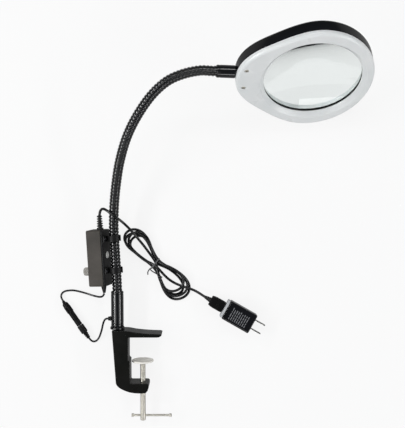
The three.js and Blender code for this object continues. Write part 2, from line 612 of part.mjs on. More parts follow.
// ---- adapter, in its own frame: +X towards the blades ------------------------------------------------------
function addAdapter() {
  const [length, width, height] = ADAPTER_SIZE;
  const x = length / 2;
  const outer = roundedBox(-width / 2, width / 2, -height / 2, height / 2, -x, x, 3).rotateX(Math.PI / 2)
    .rotateZ(Math.PI / 2);
  const [shellLength, shellWidth, shellHeight] = USB_SHELL;
  const slotWidth = shellWidth / 2 + 0.4;
  const slotHeight = shellHeight / 2 + 0.4;
  const slot = box(-x - 8, -x + 10, -slotWidth, slotWidth, -slotHeight, slotHeight);
  add(adapter, "adapter_case", cut(outer, slot), BLACK_PLASTIC());
  const from = -x - END_PLATE;
  const plate = roundedBox(-width / 2 + 0.8, width / 2 - 0.8, -height / 2 + 0.8, height / 2 - 0.8, from,
    -x - GAP, 3).rotateX(Math.PI / 2).rotateZ(Math.PI / 2);
  add(adapter, "adapter_end_plate", cut(plate, slot), paint("#b9bbbd", 0.4));
  for (const [name, y] of [["adapter_blade_left", BLADE_SPACING / 2], ["adapter_blade_right", -BLADE_SPACING / 2]]) {
    const blade = box(x + GAP, x + GAP + BLADE[0], y - BLADE[1] / 2, y + BLADE[1] / 2, -BLADE[2] / 2,
      BLADE[2] / 2);
    add(adapter, name, blade, ZINC());
  }
  const grip = from - 0.8;
  const shell = box(grip + GAP, grip + GAP + shellLength / 2, -shellWidth / 2, shellWidth / 2, -shellHeight / 2,
    shellHeight / 2);
  add(adapter, "usb_plug_shell", shell, ZINC());
  const overmould = roundedBox(-USB_GRIP[1] / 2, USB_GRIP[1] / 2, -USB_GRIP[2] / 2, USB_GRIP[2] / 2,
    grip - USB_GRIP[0], grip, 2).rotateX(Math.PI / 2).rotateZ(Math.PI / 2);
  add(adapter, "usb_plug_grip", overmould, BLACK_PLASTIC());
  const end = grip - USB_GRIP[0] - GAP;
  const relief = turned([[0, end - 8.4], [2.2, end - 8.4], [3.6, end], [0, end]], 14);
  add(adapter, "usb_plug_relief", relief.rotateZ(-Math.PI / 2), BLACK_PLASTIC());
}

addClamp();
addClampScrew();
addNeck();
addHead();
addDimmerShells();
addKnob();
addClips();
addReliefs();
addCords();
addInlineConnector();
addAdapter();

// the origin is the middle of the bottom of the lamp's box, without its free cords and their plugs
const ON_CORDS = /cord_(lead|tail|hank|upper|lower)|hank_tie|inline_|usb_plug|main_cord_relief|link_cord_relief/;
lamp.updateMatrixWorld(true);
const bounds = new THREE.Box3();
lamp.traverse((node) => {
  if (node.isMesh && !ON_CORDS.test(node.name)) bounds.expandByObject(node, true);
});
const centre = bounds.getCenter(new THREE.Vector3());
lamp.position.set(-centre.x, -centre.y, -bounds.min.z);
lamp.updateMatrixWorld(true);

export default lamp;
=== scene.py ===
"""Looks of a clamp-on magnifying lamp that lies on its side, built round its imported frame.

Sizes are millimetres in each sub-assembly's own making frame; a placing matrix turns them into metres
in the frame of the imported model. Every finish is named for the real material.
"""

import logging
import math
from collections.abc import Callable, Sequence
from dataclasses import dataclass
from enum import Enum

import bmesh
import bpy
import numpy as np
from mathutils import Matrix, Vector


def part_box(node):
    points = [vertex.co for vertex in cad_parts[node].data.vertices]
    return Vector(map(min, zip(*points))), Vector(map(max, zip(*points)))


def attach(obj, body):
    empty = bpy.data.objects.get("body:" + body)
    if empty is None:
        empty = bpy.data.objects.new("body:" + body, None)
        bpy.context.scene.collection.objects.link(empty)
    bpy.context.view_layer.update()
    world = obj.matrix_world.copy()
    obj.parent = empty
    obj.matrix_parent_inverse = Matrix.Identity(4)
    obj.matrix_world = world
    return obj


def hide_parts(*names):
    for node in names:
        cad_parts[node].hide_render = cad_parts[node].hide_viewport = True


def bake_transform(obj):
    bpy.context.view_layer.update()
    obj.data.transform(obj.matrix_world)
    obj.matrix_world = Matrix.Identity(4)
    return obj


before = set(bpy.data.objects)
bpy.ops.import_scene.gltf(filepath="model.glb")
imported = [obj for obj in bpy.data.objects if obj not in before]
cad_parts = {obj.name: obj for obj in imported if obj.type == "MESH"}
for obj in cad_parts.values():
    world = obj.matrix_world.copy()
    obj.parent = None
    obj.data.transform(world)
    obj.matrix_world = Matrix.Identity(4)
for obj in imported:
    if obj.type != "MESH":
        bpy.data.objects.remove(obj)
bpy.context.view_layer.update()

LOG = logging.getLogger("magnifying_lamp")
MM = 0.001
GAP = 0.3
Point = Sequence[float]


# ---- colour and materials ------------------------------------------------------------------------
def linear(code: str) -> tuple[float, float, float, float]:
    """Turn an sRGB hex colour into linear light.

    Args:
        code: the colour as "#rrggbb".

    Returns:
        Red, green, blue and an alpha of 1.
    """
    values = [int(code[i : i + 2], 16) / 255 for i in (1, 3, 5)]
    red, green, blue = (v / 12.92 if v <= 0.04045 else ((v + 0.055) / 1.055) ** 2.4 for v in values)
    return red, green, blue, 1.0


def add_node(tree: bpy.types.NodeTree, kind: str, settings: dict | None = None,
             inputs: dict | None = None) -> bpy.types.Node:
    """Add one shader node with its settings and links.

    Args:
        tree: the material's node tree.
        kind: the node's type name.
        settings: properties of the node itself.
        inputs: a value, or the output socket to link, for each named input.

    Returns:
        The new node.
    """
    made = tree.nodes.new(kind)
    for key, value in (settings or {}).items():
        setattr(made, key, value)
    for key, value in (inputs or {}).items():
        if isinstance(value, bpy.types.NodeSocket):
            tree.links.new(value, made.inputs[key])
        else:
            made.inputs[key].default_value = value
    return made


MIX_FACTOR, MIX_A, MIX_B, MIX_RESULT = 0, 6, 7, 2


@dataclass(frozen=True)
class Finish:
    """A material seen as a body colour, a drift of tone, a fine grain and lighter edges: worn, and on the
    neck's crowns partly a painted highlight.
    """

    name: str = "plain"
    colour: str = "#808080"
    drift: str = "#707070"          # the colour that the body drifts to in soft patches
    drift_mm: float = 14.0          # size of those patches
    roughness: float = 0.4
    polish: float = 0.06            # how far the roughness swings from patch to patch
    grain_mm: float = 0.8           # size of the fine surface grain
    grain_depth_mm: float = 0.01
    edge: str = "#808080"           # colour of paler edges: rubbed wear, and on the neck's crowns partly a painted highlight
    edge_share: float = 0.0         # how much of that colour an edge takes
    metallic: float = 0.0
    ior: float = 1.5
    coat: float = 0.0
    specular: float = 0.5           # how much of a smooth surface's mirror light its texture leaves

    def material(self) -> bpy.types.Material:
        """Return this finish's material, made on its first use.

        Returns:
            The material.
        """
        found = bpy.data.materials.get(self.name)
        if found:
            return found
        made = bpy.data.materials.new(self.name)
        made.use_nodes = True
        made.node_tree.nodes.clear()
        self.build(made.node_tree)
        return made

    def noise(self, tree: bpy.types.NodeTree, size_mm: float, detail: float = 3.0) -> bpy.types.NodeSocket:
        """Add a soft noise in the piece's own space.

        Args:
            tree: the material's node tree.
            size_mm: the size of one patch.
            detail: how many finer octaves it carries.

        Returns:
            The noise value's socket.
        """
        where = add_node(tree, "ShaderNodeTexCoord")
        made = add_node(tree, "ShaderNodeTexNoise", inputs={
            "Vector": where.outputs["Object"], "Scale": 1 / (size_mm * MM), "Detail": detail})
        return made.outputs["Fac"]

    def spread(self, tree: bpy.types.NodeTree, value: bpy.types.NodeSocket, low: float, high: float,
               start: float = 0.3, end: float = 0.7) -> bpy.types.NodeSocket:
        """Map a value's range onto low..high and return the socket."""
        made = add_node(tree, "ShaderNodeMapRange", inputs={
            "Value": value, "From Min": start, "From Max": end, "To Min": low, "To Max": high})
        return made.outputs["Result"]

    def blended(self, tree: bpy.types.NodeTree, share: bpy.types.NodeSocket, first: object,
                second: object) -> bpy.types.NodeSocket:
        """Mix two colours by a share and return the socket."""
        made = add_node(tree, "ShaderNodeMix", {"data_type": "RGBA"}, {
            MIX_FACTOR: share, MIX_A: first, MIX_B: second})
        return made.outputs[MIX_RESULT]

    def body_colour(self, tree: bpy.types.NodeTree) -> bpy.types.NodeSocket:
        """Return the drifting body colour, with its paler edges: rubbed wear, and on the neck's crowns partly
        a painted highlight.

        Args:
            tree: the material's node tree.

        Returns:
            The socket that carries the colour.
        """
        patches = self.spread(tree, self.noise(tree, self.drift_mm), 0, 1)
        colour = self.blended(tree, patches, linear(self.colour), linear(self.drift))
        # paler convex edges by pointiness: rubbed wear, and on the neck's crowns partly a painted highlight
        if self.edge_share > 0:
            shape = add_node(tree, "ShaderNodeNewGeometry")
            sharp = self.spread(tree, shape.outputs["Pointiness"], 0, self.edge_share, 0.52, 0.6)
            colour = self.blended(tree, sharp, colour, linear(self.edge))
        return colour

    def grain(self, tree: bpy.types.NodeTree) -> bpy.types.NodeSocket:
        """Return the normal that the fine grain gives."""
        bump = add_node(tree, "ShaderNodeBump", inputs={
            "Height": self.noise(tree, self.grain_mm, 2.0), "Distance": self.grain_depth_mm * MM,
            "Strength": 1.0})
        return bump.outputs["Normal"]

    def shader(self, tree: bpy.types.NodeTree) -> bpy.types.Node:
        """Add the surface shader and return it.

        Args:
            tree: the material's node tree.

        Returns:
            The shader's node.
        """
        swing = self.noise(tree, self.drift_mm * 0.7)
        rough = self.spread(tree, swing, self.roughness - self.polish, self.roughness + self.polish)
        return add_node(tree, "ShaderNodeBsdfPrincipled", inputs={
            "Base Color": self.body_colour(tree), "Roughness": rough, "Metallic": self.metallic,
            "IOR": self.ior, "Coat Weight": self.coat, "Coat Roughness": 0.08,
            "Specular IOR Level": self.specular,
            "Normal": self.grain(tree)})

    def build(self, tree: bpy.types.NodeTree) -> None:
        """Add the nodes of this finish to an empty tree.

        Args:
            tree: the material's node tree.
        """
        surface = self.shader(tree)
        add_node(tree, "ShaderNodeOutputMaterial", inputs={"Surface": surface.outputs["BSDF"]})


@dataclass(frozen=True)
class OpalAcrylic(Finish):
    """Translucent white acrylic: light goes a little way in, so edges look soft and bright."""

    depth_mm: float = 2.2

    def shader(self, tree: bpy.types.NodeTree) -> bpy.types.Node:
        """Add the surface shader and return it.

        Args:
            tree: the material's node tree.

        Returns:
            The shader's node.
        """
        made = super().shader(tree)
        made.inputs["Subsurface Weight"].default_value = 0.35
        made.inputs["Subsurface Radius"].default_value = (1.0, 0.98, 0.95)
        made.inputs["Subsurface Scale"].default_value = self.depth_mm * MM
        return made


@dataclass(frozen=True)
class OpticalGlass(Finish):
    """Clear crown glass: it bends what lies behind it and mirrors the lamps faintly; lamp light passes it."""

    def build(self, tree: bpy.types.NodeTree) -> None:
        """Add the nodes of this finish to an empty tree.

        Args:
            tree: the material's node tree.
        """
        glass = add_node(tree, "ShaderNodeBsdfPrincipled", inputs={
            "Base Color": linear(self.colour), "Roughness": self.roughness, "IOR": self.ior,
            "Transmission Weight": 1.0, "Normal": self.grain(tree)})
        clear = add_node(tree, "ShaderNodeBsdfTransparent", inputs={"Color": linear(self.drift)})
        ray = add_node(tree, "ShaderNodeLightPath")
        both = add_node(tree, "ShaderNodeMixShader", inputs={
            0: ray.outputs["Is Shadow Ray"], 1: glass.outputs["BSDF"], 2: clear.outputs["BSDF"]})
        add_node(tree, "ShaderNodeOutputMaterial", inputs={"Surface": both.outputs["Shader"]})


# black stoved enamel on a die casting: soft sheen with a faint orange peel, paler where edges are rubbed
STOVED_ENAMEL = Finish("stoved_enamel", "#0b0c0a", "#10100e", 18, 0.27, 0.05, 1.1, 0.01, "#3a3834", 0.5,
                       specular=0.22)
# glossy enamel on turned steel tube: clean long highlights with very little texture
TUBE_ENAMEL = Finish("tube_enamel", "#050506", "#090909", 20, 0.14, 0.03, 1.6, 0.003, "#2c2c32", 0.3,
                     coat=0.3)
# black lacquer on wound steel strip: each turn carries its own small highlight; its crown is painted a little
# paler, partly rubbed wear and partly a painted highlight
STRIP_LACQUER = Finish("strip_lacquer", "#020203", "#050506", 9, 0.17, 0.04, 0.8, 0.002, "#1c1c1f", 0.2,
                       coat=0.4, specular=0.6)
# zinc-plated steel, passivated: warm silver with soft cloudy patches
ZINC_PLATE = Finish("zinc_plate", "#d6d2c8", "#c6c2b6", 6, 0.42, 0.05, 1.2, 0.001, "#ece8dd", 0.4,
                    metallic=1.0)
# zinc plate of the pad's face, painted almost white and hardly mirrored: a lighter copy of the zinc plate,
# its whiteness a painted reflection of the pale surroundings
PAD_ZINC_PAINTED_REFLECTION = Finish("zinc_plate_painted_white", "#f3f0e9", "#e9e6de", 6, 0.5, 0.04, 1.2, 0.001, "#ffffff", 0.3,
                    metallic=0.2)
# zinc plate, black passivated: the small dark screws of the clips
BLACK_ZINC = Finish("black_passivated_zinc", "#2e2e30", "#242426", 3, 0.34, 0.06, 0.8, 0.002, "#55555a", 0.4,
                    metallic=1.0)
# nickel-plated brass blades: cooler and brighter than zinc
NICKEL_PLATE = Finish("nickel_plate", "#d6d4ce", "#c4c1ba", 6, 0.22, 0.05, 0.4, 0.004, "#f0eee8", 0.3,
                      metallic=1.0)
# polished ABS: near-mirror black with the slow waviness of a moulding
GLOSS_ABS = Finish("gloss_abs", "#030304", "#060608", 30, 0.11, 0.025, 6.0, 0.02, "#2c2c32", 0.25)
# satin ABS: plain black moulding of clips, lid and connectors
SATIN_ABS = Finish("satin_abs", "#0a0a0b", "#0f0f0f", 12, 0.36, 0.06, 0.6, 0.008, "#3a3a3b", 0.35,
                   specular=0.15)
# spark-textured ABS: a matte face of the control box, painted warm grey as a painted reflection; the grain is
# drawn 0.9 mm to show
TEXTURED_ABS_PAINTED_REFLECTION = Finish("textured_abs_painted_reflection", "#45413d", "#322f2b", 30, 0.45, 0.05, 0.9, 0.02, "#7d7973", 0.4,
                      specular=0.12)
# satin grey ABS of the knob: paler than its box
KNOB_ABS = Finish("knob_abs", "#98958f", "#8a8781", 8, 0.4, 0.05, 0.7, 0.01, "#a3a09a", 0.4)
# light grey ABS of the adapter's socket end
TRIM_ABS = Finish("trim_abs", "#b4b6b8", "#a8aaad", 12, 0.36, 0.05, 0.7, 0.008, "#d5d6d7", 0.4)
# extruded vinyl jacket: black with a long soft sheen and faint scuffs
VINYL_JACKET = Finish("vinyl_jacket", "#070708", "#0c0c0d", 16, 0.3, 0.08, 0.9, 0.008)
# moulded rubber: the mattest black on the lamp
MOULDED_RUBBER = Finish("moulded_rubber", "#090909", "#0f0f0e", 7, 0.6, 0.06, 0.5, 0.012, "#2b2b2a", 0.3)
# vinyl-coated wire of the bundle tie
TIE_VINYL = Finish("tie_vinyl", "#3a3a3c", "#4a4a4b", 6, 0.42, 0.06, 0.8, 0.01, "#6a6a6b", 0.4)
# white solder resist of the light ring
WHITE_RESIST = Finish("white_resist", "#e6e6df", "#dcdcd2", 9, 0.42, 0.04, 1.0, 0.01)
# green solder resist of the control board
GREEN_RESIST = Finish("green_resist", "#1f5a34", "#2a6b40", 4, 0.35, 0.05, 0.8, 0.02)
# coated paper of the round sticker
COATED_PAPER = Finish("coated_paper", "#fbfbf8", "#f1f1ec", 3, 0.45, 0.04, 0.4, 0.006)
# pale grey pad-printing ink: thin, a little broken where the black shows through
PALE_INK = Finish("pad_print_ink", "#7c7d80", "#5c5d60", 1.5, 0.5, 0.05, 0.5, 0.003)
# translucent white acrylic of the light cover
OPAL = OpalAcrylic("opal_acrylic", "#dfe0e0", "#d7dada", 40, 0.3, 0.04, 1.2, 0.006, "#f4f5f5", 0.5, coat=0.2)
# clear crown glass of the magnifier, with a trace of green in its depth
CROWN_GLASS = OpticalGlass("crown_glass", "#f2f6f5", "#f4f8f7", roughness=0.0, grain_mm=40,
                           grain_depth_mm=0.0004, ior=1.52)


# ---- making frames -------------------------------------------------------------------------------
def placed(parent: Matrix, at: Point, degrees: Point = (0, 0, 0)) -> Matrix:
    """Return a making frame inside another one.

    Args:
        parent: the frame that it is placed in.
        at: its origin there, in millimetres.
        degrees: its turns about X, Y and Z.

    Returns:
        The frame's matrix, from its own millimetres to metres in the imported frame.
    """
    turn = Matrix.Identity(4)
    for angle, axis in zip(degrees, "XYZ"):
        turn = turn @ Matrix.Rotation(math.radians(angle), 4, axis)
    return parent @ Matrix.Translation(at) @ turn


ADAPTER_AT = (49.1, -136.6, 12.1)
_low, _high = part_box("adapter_case")
LAY = Matrix.Translation((_low + _high) / 2 - Vector(ADAPTER_AT) * MM) @ Matrix.Scale(MM, 4)
CLAMP = placed(LAY, (-112.7, -152.4, 19.25), (3.6, 0, 0))
DIMMER = placed(CLAMP, (-2, 95.5, 0.25), (0, 0, 3.2))
DIMMER_BOX = placed(DIMMER, (0, 0, 0), (0, -17, 0))
HEAD = placed(LAY, (138.3, 164.5, 80.8), (56.7, 2.3, -5.4))
ADAPTER = placed(LAY, ADAPTER_AT, (0, 0, -29.6))
ALONG_X = Matrix.Rotation(-math.pi / 2, 4, "Z")      # takes a turned piece's Y axis to X
ALONG_Z = Matrix.Rotation(math.pi / 2, 4, "X")       # takes a turned piece's Y axis to Z


# ---- mesh making ---------------------------------------------------------------------------------
def raised(name: str, vertices: Sequence[Point], faces: Sequence[Sequence[int]], place: Matrix,
           finish: Finish, crease: float = 35) -> bpy.types.Object:
    """Make a mesh piece from points in a making frame.

    Args:
        name: the piece's name.
        vertices: its points, in millimetres.
        faces: its faces, as rows of point numbers.
        place: the making frame.
        finish: what it is finished in.
        crease: the angle in degrees from which an edge stays sharp.

    Returns:
        The new object.
    """
    mesh = bpy.data.meshes.new(name)
    mesh.from_pydata([place @ Vector(v) for v in vertices], [], faces)
    shape = bmesh.new()
    shape.from_mesh(mesh)
    bmesh.ops.remove_doubles(shape, verts=shape.verts, dist=1e-7)
    bmesh.ops.dissolve_degenerate(shape, edges=shape.edges, dist=1e-8)
    bmesh.ops.recalc_face_normals(shape, faces=shape.faces)
    shape.to_mesh(mesh)
    shape.free()
    made = bpy.data.objects.new(name, mesh)
    bpy.context.scene.collection.objects.link(made)
    mesh.materials.append(finish.material())
    smooth(made, crease)
    return made


def smooth(piece: bpy.types.Object, crease: float = 35) -> None:
    """Shade a piece smooth, keep its sharp edges, and weigh its normals by face area.

    Args:
        piece: the mesh object.
        crease: the angle in degrees from which an edge stays sharp.
    """
    piece.data.shade_smooth()
    piece.data.set_sharp_from_angle(angle=math.radians(crease))
    if "normals" not in piece.modifiers:
        weigh = piece.modifiers.new("normals", "WEIGHTED_NORMAL")
        weigh.keep_sharp = True


def lofted(name: str, rings: Sequence[Sequence[Point]], place: Matrix, finish: Finish, closed: bool = False,
           crease: float = 35) -> bpy.types.Object:
    """Skin a row of rings that have the same number of points.

    Args:
        name: the piece's name.
        rings: the rings in order.
        place: the making frame.
        finish: what it is finished in.
        closed: join the last ring to the first; otherwise both ends are capped.
        crease: the angle in degrees from which an edge stays sharp.

    Returns:
        The new object.
    """
    count = len(rings[0])
    points = [p for ring in rings for p in ring]
    rows = len(rings) if closed else len(rings) - 1
    faces = []
    for i in range(rows):
        here, after = i * count, ((i + 1) % len(rings)) * count
        for j in range(count):
            k = (j + 1) % count
            faces.append((here + j, here + k, after + k, after + j))
    if not closed:
        last = (len(rings) - 1) * count
        faces += [tuple(range(count))[::-1], tuple(range(last, last + count))]
    return raised(name, points, faces, place, finish, crease)


def turned(name: str, profile: Sequence[Point], place: Matrix, finish: Finish, sides: int = 48, ribs: int = 0,
           rib_depth: float = 0.0, rib_rows: range = range(0), crease: float = 35) -> bpy.types.Object:
    """Turn a profile about the making frame's Y axis.

    Args:
        name: the piece's name.
        profile: (radius, y) points from one pole to the other, or a closed ring of them.
        place: the making frame.
        finish: what it is finished in.
        sides: points round the axis.
        ribs: grip ribs round the axis.
        rib_depth: how deep the grooves between the ribs are.
        rib_rows: the profile points that carry ribs.
        crease: the angle in degrees from which an edge stays sharp.

    Returns:
        The new object.
    """
    rings = []
    for row, (radius, y) in enumerate(profile):
        ring = []
        for i in range(sides):
            angle = 2 * math.pi * i / sides
            r = radius
            if row in rib_rows:
                r -= rib_depth * (0.5 - 0.5 * math.cos(ribs * angle)) ** 0.7
            ring.append((r * math.cos(angle), y, r * math.sin(angle)))
        rings.append(ring)
    return lofted(name, rings, place, finish, closed=profile[0][0] > 0, crease=crease)


def slab(name: str, outline: Sequence[Point], low: float, high: float, place: Matrix, finish: Finish,
         edge: float = 0.0, steps: int = 3) -> bpy.types.Object:
    """Push an outline along Z and round its sharp edges.

    Args:
        name: the piece's name.
        outline: its (x, y) points in order.
        low: where it starts along Z.
        high: where it ends along Z.
        place: the making frame.
        finish: what it is finished in.
        edge: the rounding's width, in millimetres.
        steps: the rounding's segments.

    Returns:
        The new object.
    """
    rings = [[(x, y, z) for x, y in outline] for z in (low, high)]
    made = lofted(name, rings, place, finish)
    if edge > 0:
        rounding(made, edge, steps)
    return made


def rounding(piece: bpy.types.Object, width: float, steps: int = 3, limit: float = 40) -> None:
    """Round every edge of a piece that is sharper than a limit, by a modifier.

    Args:
        piece: the mesh object.
        width: the rounding's width, in millimetres.
        steps: the rounding's segments.
        limit: the smallest angle in degrees that counts as sharp.
    """
    bevel = piece.modifiers.new("rounding", "BEVEL")
    bevel.width = width * MM
    bevel.segments = steps
    bevel.limit_method = "ANGLE"
    bevel.angle_limit = math.radians(limit)
    bevel.harden_normals = False
    applied(piece)
    smooth(piece, 50)


def block(name: str, low: Point, high: Point, place: Matrix, finish: Finish, edge: float = 0.0,
          steps: int = 3) -> bpy.types.Object:
    """Make a block between two corners, with rounded edges."""
    outline = [(low[0], low[1]), (high[0], low[1]), (high[0], high[1]), (low[0], high[1])]
    return slab(name, outline, low[2], high[2], place, finish, edge, steps)


def applied(piece: bpy.types.Object) -> None:
    """Turn a piece's modifiers into mesh, except the weighing of its normals.

    Args:
        piece: the piece that carries them.
    """
    weigh = piece.modifiers.get("normals")
    if weigh:
        piece.modifiers.remove(weigh)
    bpy.context.view_layer.update()
    graph = bpy.context.evaluated_depsgraph_get()
    mesh = bpy.data.meshes.new_from_object(piece.evaluated_get(graph))
    piece.modifiers.clear()
    piece.data = mesh


class Cut(Enum):
    """What a second solid does to the first."""

    AWAY = "DIFFERENCE"
    JOIN = "UNION"


def combined(piece: bpy.types.Object, how: Cut, *tools: bpy.types.Object,
             crease: float = 35) -> bpy.types.Object:
    """Cut solids out of a piece, or join them to it.

    Args:
        piece: the solid that is kept.
        how: whether the tools are cut away or joined.
        tools: the other solids, which are used up.
        crease: the angle in degrees from which an edge stays sharp.

    Returns:
        The piece.
    """
    for tool in tools:
        step = piece.modifiers.new("step", "BOOLEAN")
        step.operation = how.value
        step.solver = "EXACT"
        step.object = tool
        applied(piece)
        bpy.data.objects.remove(tool)
    smooth(piece, crease)
    return piece


def settle(piece: bpy.types.Object, body: str, slot: str, *nodes: str) -> bpy.types.Object:
    """Let a piece ride on its body and stand for its nodes, and report it.

    Args:
        piece: the finished piece.
        body: the body that it rides on.
        slot: the record's material slot; not used.
        nodes: the nodes that it stands for.

    Returns:
        The piece.
    """
    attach(piece, body)
    if nodes:
        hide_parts(*nodes)
    LOG.info("%s on %s", piece.name, body)
    return piece


def arc_points(start: Point, control: Point, end: Point, steps: int = 8) -> list[tuple[float, float]]:
    """Return points after start on a quadratic bend that ends at end.

    Args:
        start: where the bend begins.
        control: the point that pulls it.
        end: where it ends.
        steps: how many points to make.

    Returns:
        The points in order, start left out.
    """
    found = []
    for i in range(1, steps + 1):
        t = i / steps
        a, b, c = (1 - t) ** 2, 2 * t * (1 - t), t * t
        found.append((a * start[0] + b * control[0] + c * end[0], a * start[1] + b * control[1] + c * end[1]))
    return found


def rounded_outline(x: float, y: float, corner: float, steps: int = 6) -> list[tuple[float, float]]:
    """Return a rectangle's outline, x and y from its centre to its sides, with round corners.

    Args:
        x: half the width.
        y: half the height.
        corner: the corners' radius.
        steps: how many steps a corner takes.

    Returns:
        The outline's points in order.
    """
    found = []
    for cx, cy, start in ((1, -1, -90), (1, 1, 0), (-1, 1, 90), (-1, -1, 180)):
        for i in range(steps + 1):
            angle = math.radians(start + 90 * i / steps)
            found.append((cx * (x - corner) + corner * math.cos(angle),
                          cy * (y - corner) + corner * math.sin(angle)))
    return found


def fillet(radius: float, steps: int = 6) -> list[tuple[float, float]]:
    """Return (inset, drop) pairs of a quarter round, from the side wall to the face.

    Args:
        radius: the round's radius.
        steps: how many steps it takes.

    Returns:
        The pairs, the side wall's first.
    """
    found = []
    for i in range(steps + 1):
        angle = math.pi / 2 * i / steps
        found.append((radius * (1 - math.cos(angle)), radius * (1 - math.sin(angle))))
    return found


class Route:
    """A smooth line through points, measured along its length, with a frame that doesn't twist."""

    def __init__(self, points: Sequence[Point], per_span: int = 24) -> None:
        """Run a centripetal curve through the points.

        Args:
            points: the points in millimetres, in the lay frame.
            per_span: how finely each span is sampled.
        """
        given = [np.array(p, float) for p in points]
        ends = [2 * given[0] - given[1], *given, 2 * given[-1] - given[-2]]
        line = [given[0]]
        for p0, p1, p2, p3 in zip(ends, ends[1:], ends[2:], ends[3:]):
            d0, d1, d2 = (max(1e-4, np.linalg.norm(b - a) ** 0.5) for a, b in ((p0, p1), (p1, p2), (p2, p3)))
            m1 = ((p1 - p0) / d0 - (p2 - p0) / (d0 + d1) + (p2 - p1) / d1) * d1
            m2 = ((p2 - p1) / d1 - (p3 - p1) / (d1 + d2) + (p3 - p2) / d2) * d1
            for i in range(1, per_span + 1):
                t = i / per_span
                line.append((2 * t**3 - 3 * t**2 + 1) * p1 + (t**3 - 2 * t**2 + t) * m1
                            + (3 * t**2 - 2 * t**3) * p2 + (t**3 - t**2) * m2)
        self.measure(np.array(line))

    def measure(self, line: np.ndarray) -> None:
        """Take a row of points as the line and add up its length.

        Args:
            line: the points in order.
        """
        self.line = line
        steps = np.linalg.norm(np.diff(line, axis=0), axis=1)
        self.far = np.concatenate([[0], np.cumsum(steps)])
        self.length = float(self.far[-1])

    def relax(self, reach: int, passes: int = 2) -> None:
        """Ease tight bends as a cord's stiffness does, and keep both ends.

        Args:
            reach: how many millimetres each way a point is evened out over.
            passes: how often that is done.
        """
        count = int(self.length) + 1
        line = self.at(np.linspace(0, self.length, count))
        for _ in range(passes):
            reaches = [min(reach, i, count - 1 - i) for i in range(count)]
            line = np.array([line[i - r : i + r + 1].mean(0) for i, r in enumerate(reaches)])
        self.measure(line)

    def at(self, distance: float | np.ndarray) -> np.ndarray:
        """Return the point, or points, at a distance along the line."""
        return np.stack([np.interp(distance, self.far, self.line[:, k]) for k in range(3)], axis=-1)

    def frames(self, distances: np.ndarray) -> list[tuple[np.ndarray, np.ndarray, np.ndarray]]:
        """Return (point, side, other side) at each distance, turned as little as can be.

        Args:
            distances: distances along the line, rising.

        Returns:
            A point and two unit vectors across the line, for each distance.
        """
        points = self.at(distances)
        ahead = self.at(np.minimum(distances + 0.5, self.length)) - self.at(np.maximum(distances - 0.5, 0))
        ahead /= np.linalg.norm(ahead, axis=1)[:, None]
        side = np.cross(ahead[0], (0, 0, 1.0))
        found = []
        for point, along in zip(points, ahead):
            side = side - along * (side @ along)
            side /= np.linalg.norm(side)
            found.append((point, side, np.cross(along, side)))
        return found


def wound(name: str, route: Route, span: tuple[float, float], radius: float, dip: Callable[[float], float],
          pitch: float, finish: Finish, place: Matrix, sides: int = 36, per_turn: int = 10,
          whole: tuple[float, float] | None = None) -> bpy.types.Object:
    """Make a tube along a route whose surface is cut by a helix.

    Args:
        name: the piece's name.
        route: the centre line.
        span: where the tube starts and ends along the route.
        radius: its outer radius.
        dip: how far the surface lies below that radius, for a place from 0 to 1 in one turn.
        pitch: the length of one turn.
        finish: what it is finished in.
        place: the making frame.
        sides: points round the tube.
        per_turn: rings in one turn.
        whole: the whole winding's span, when the tube is one stretch of it.

    Returns:
        The new object.
    """
    first, last = whole or span
    step = pitch / per_turn
    everywhere = np.arange(first, last + step / 2, step)
    frames = route.frames(everywhere)
    inside = [i for i, s in enumerate(everywhere) if span[0] - step / 2 <= s <= span[1] + step / 2]
    rings = []
    for i in inside:
        point, side, other = frames[i]
        ring = []
        for j in range(sides):
            angle = 2 * math.pi * j / sides
            turn = (everywhere[i] / pitch - j / sides) % 1.0
            r = radius - dip(turn)
            ring.append(tuple(point + r * (math.cos(angle) * side + math.sin(angle) * other)))
        rings.append(ring)
    return lofted(name, rings, place, finish, crease=60)


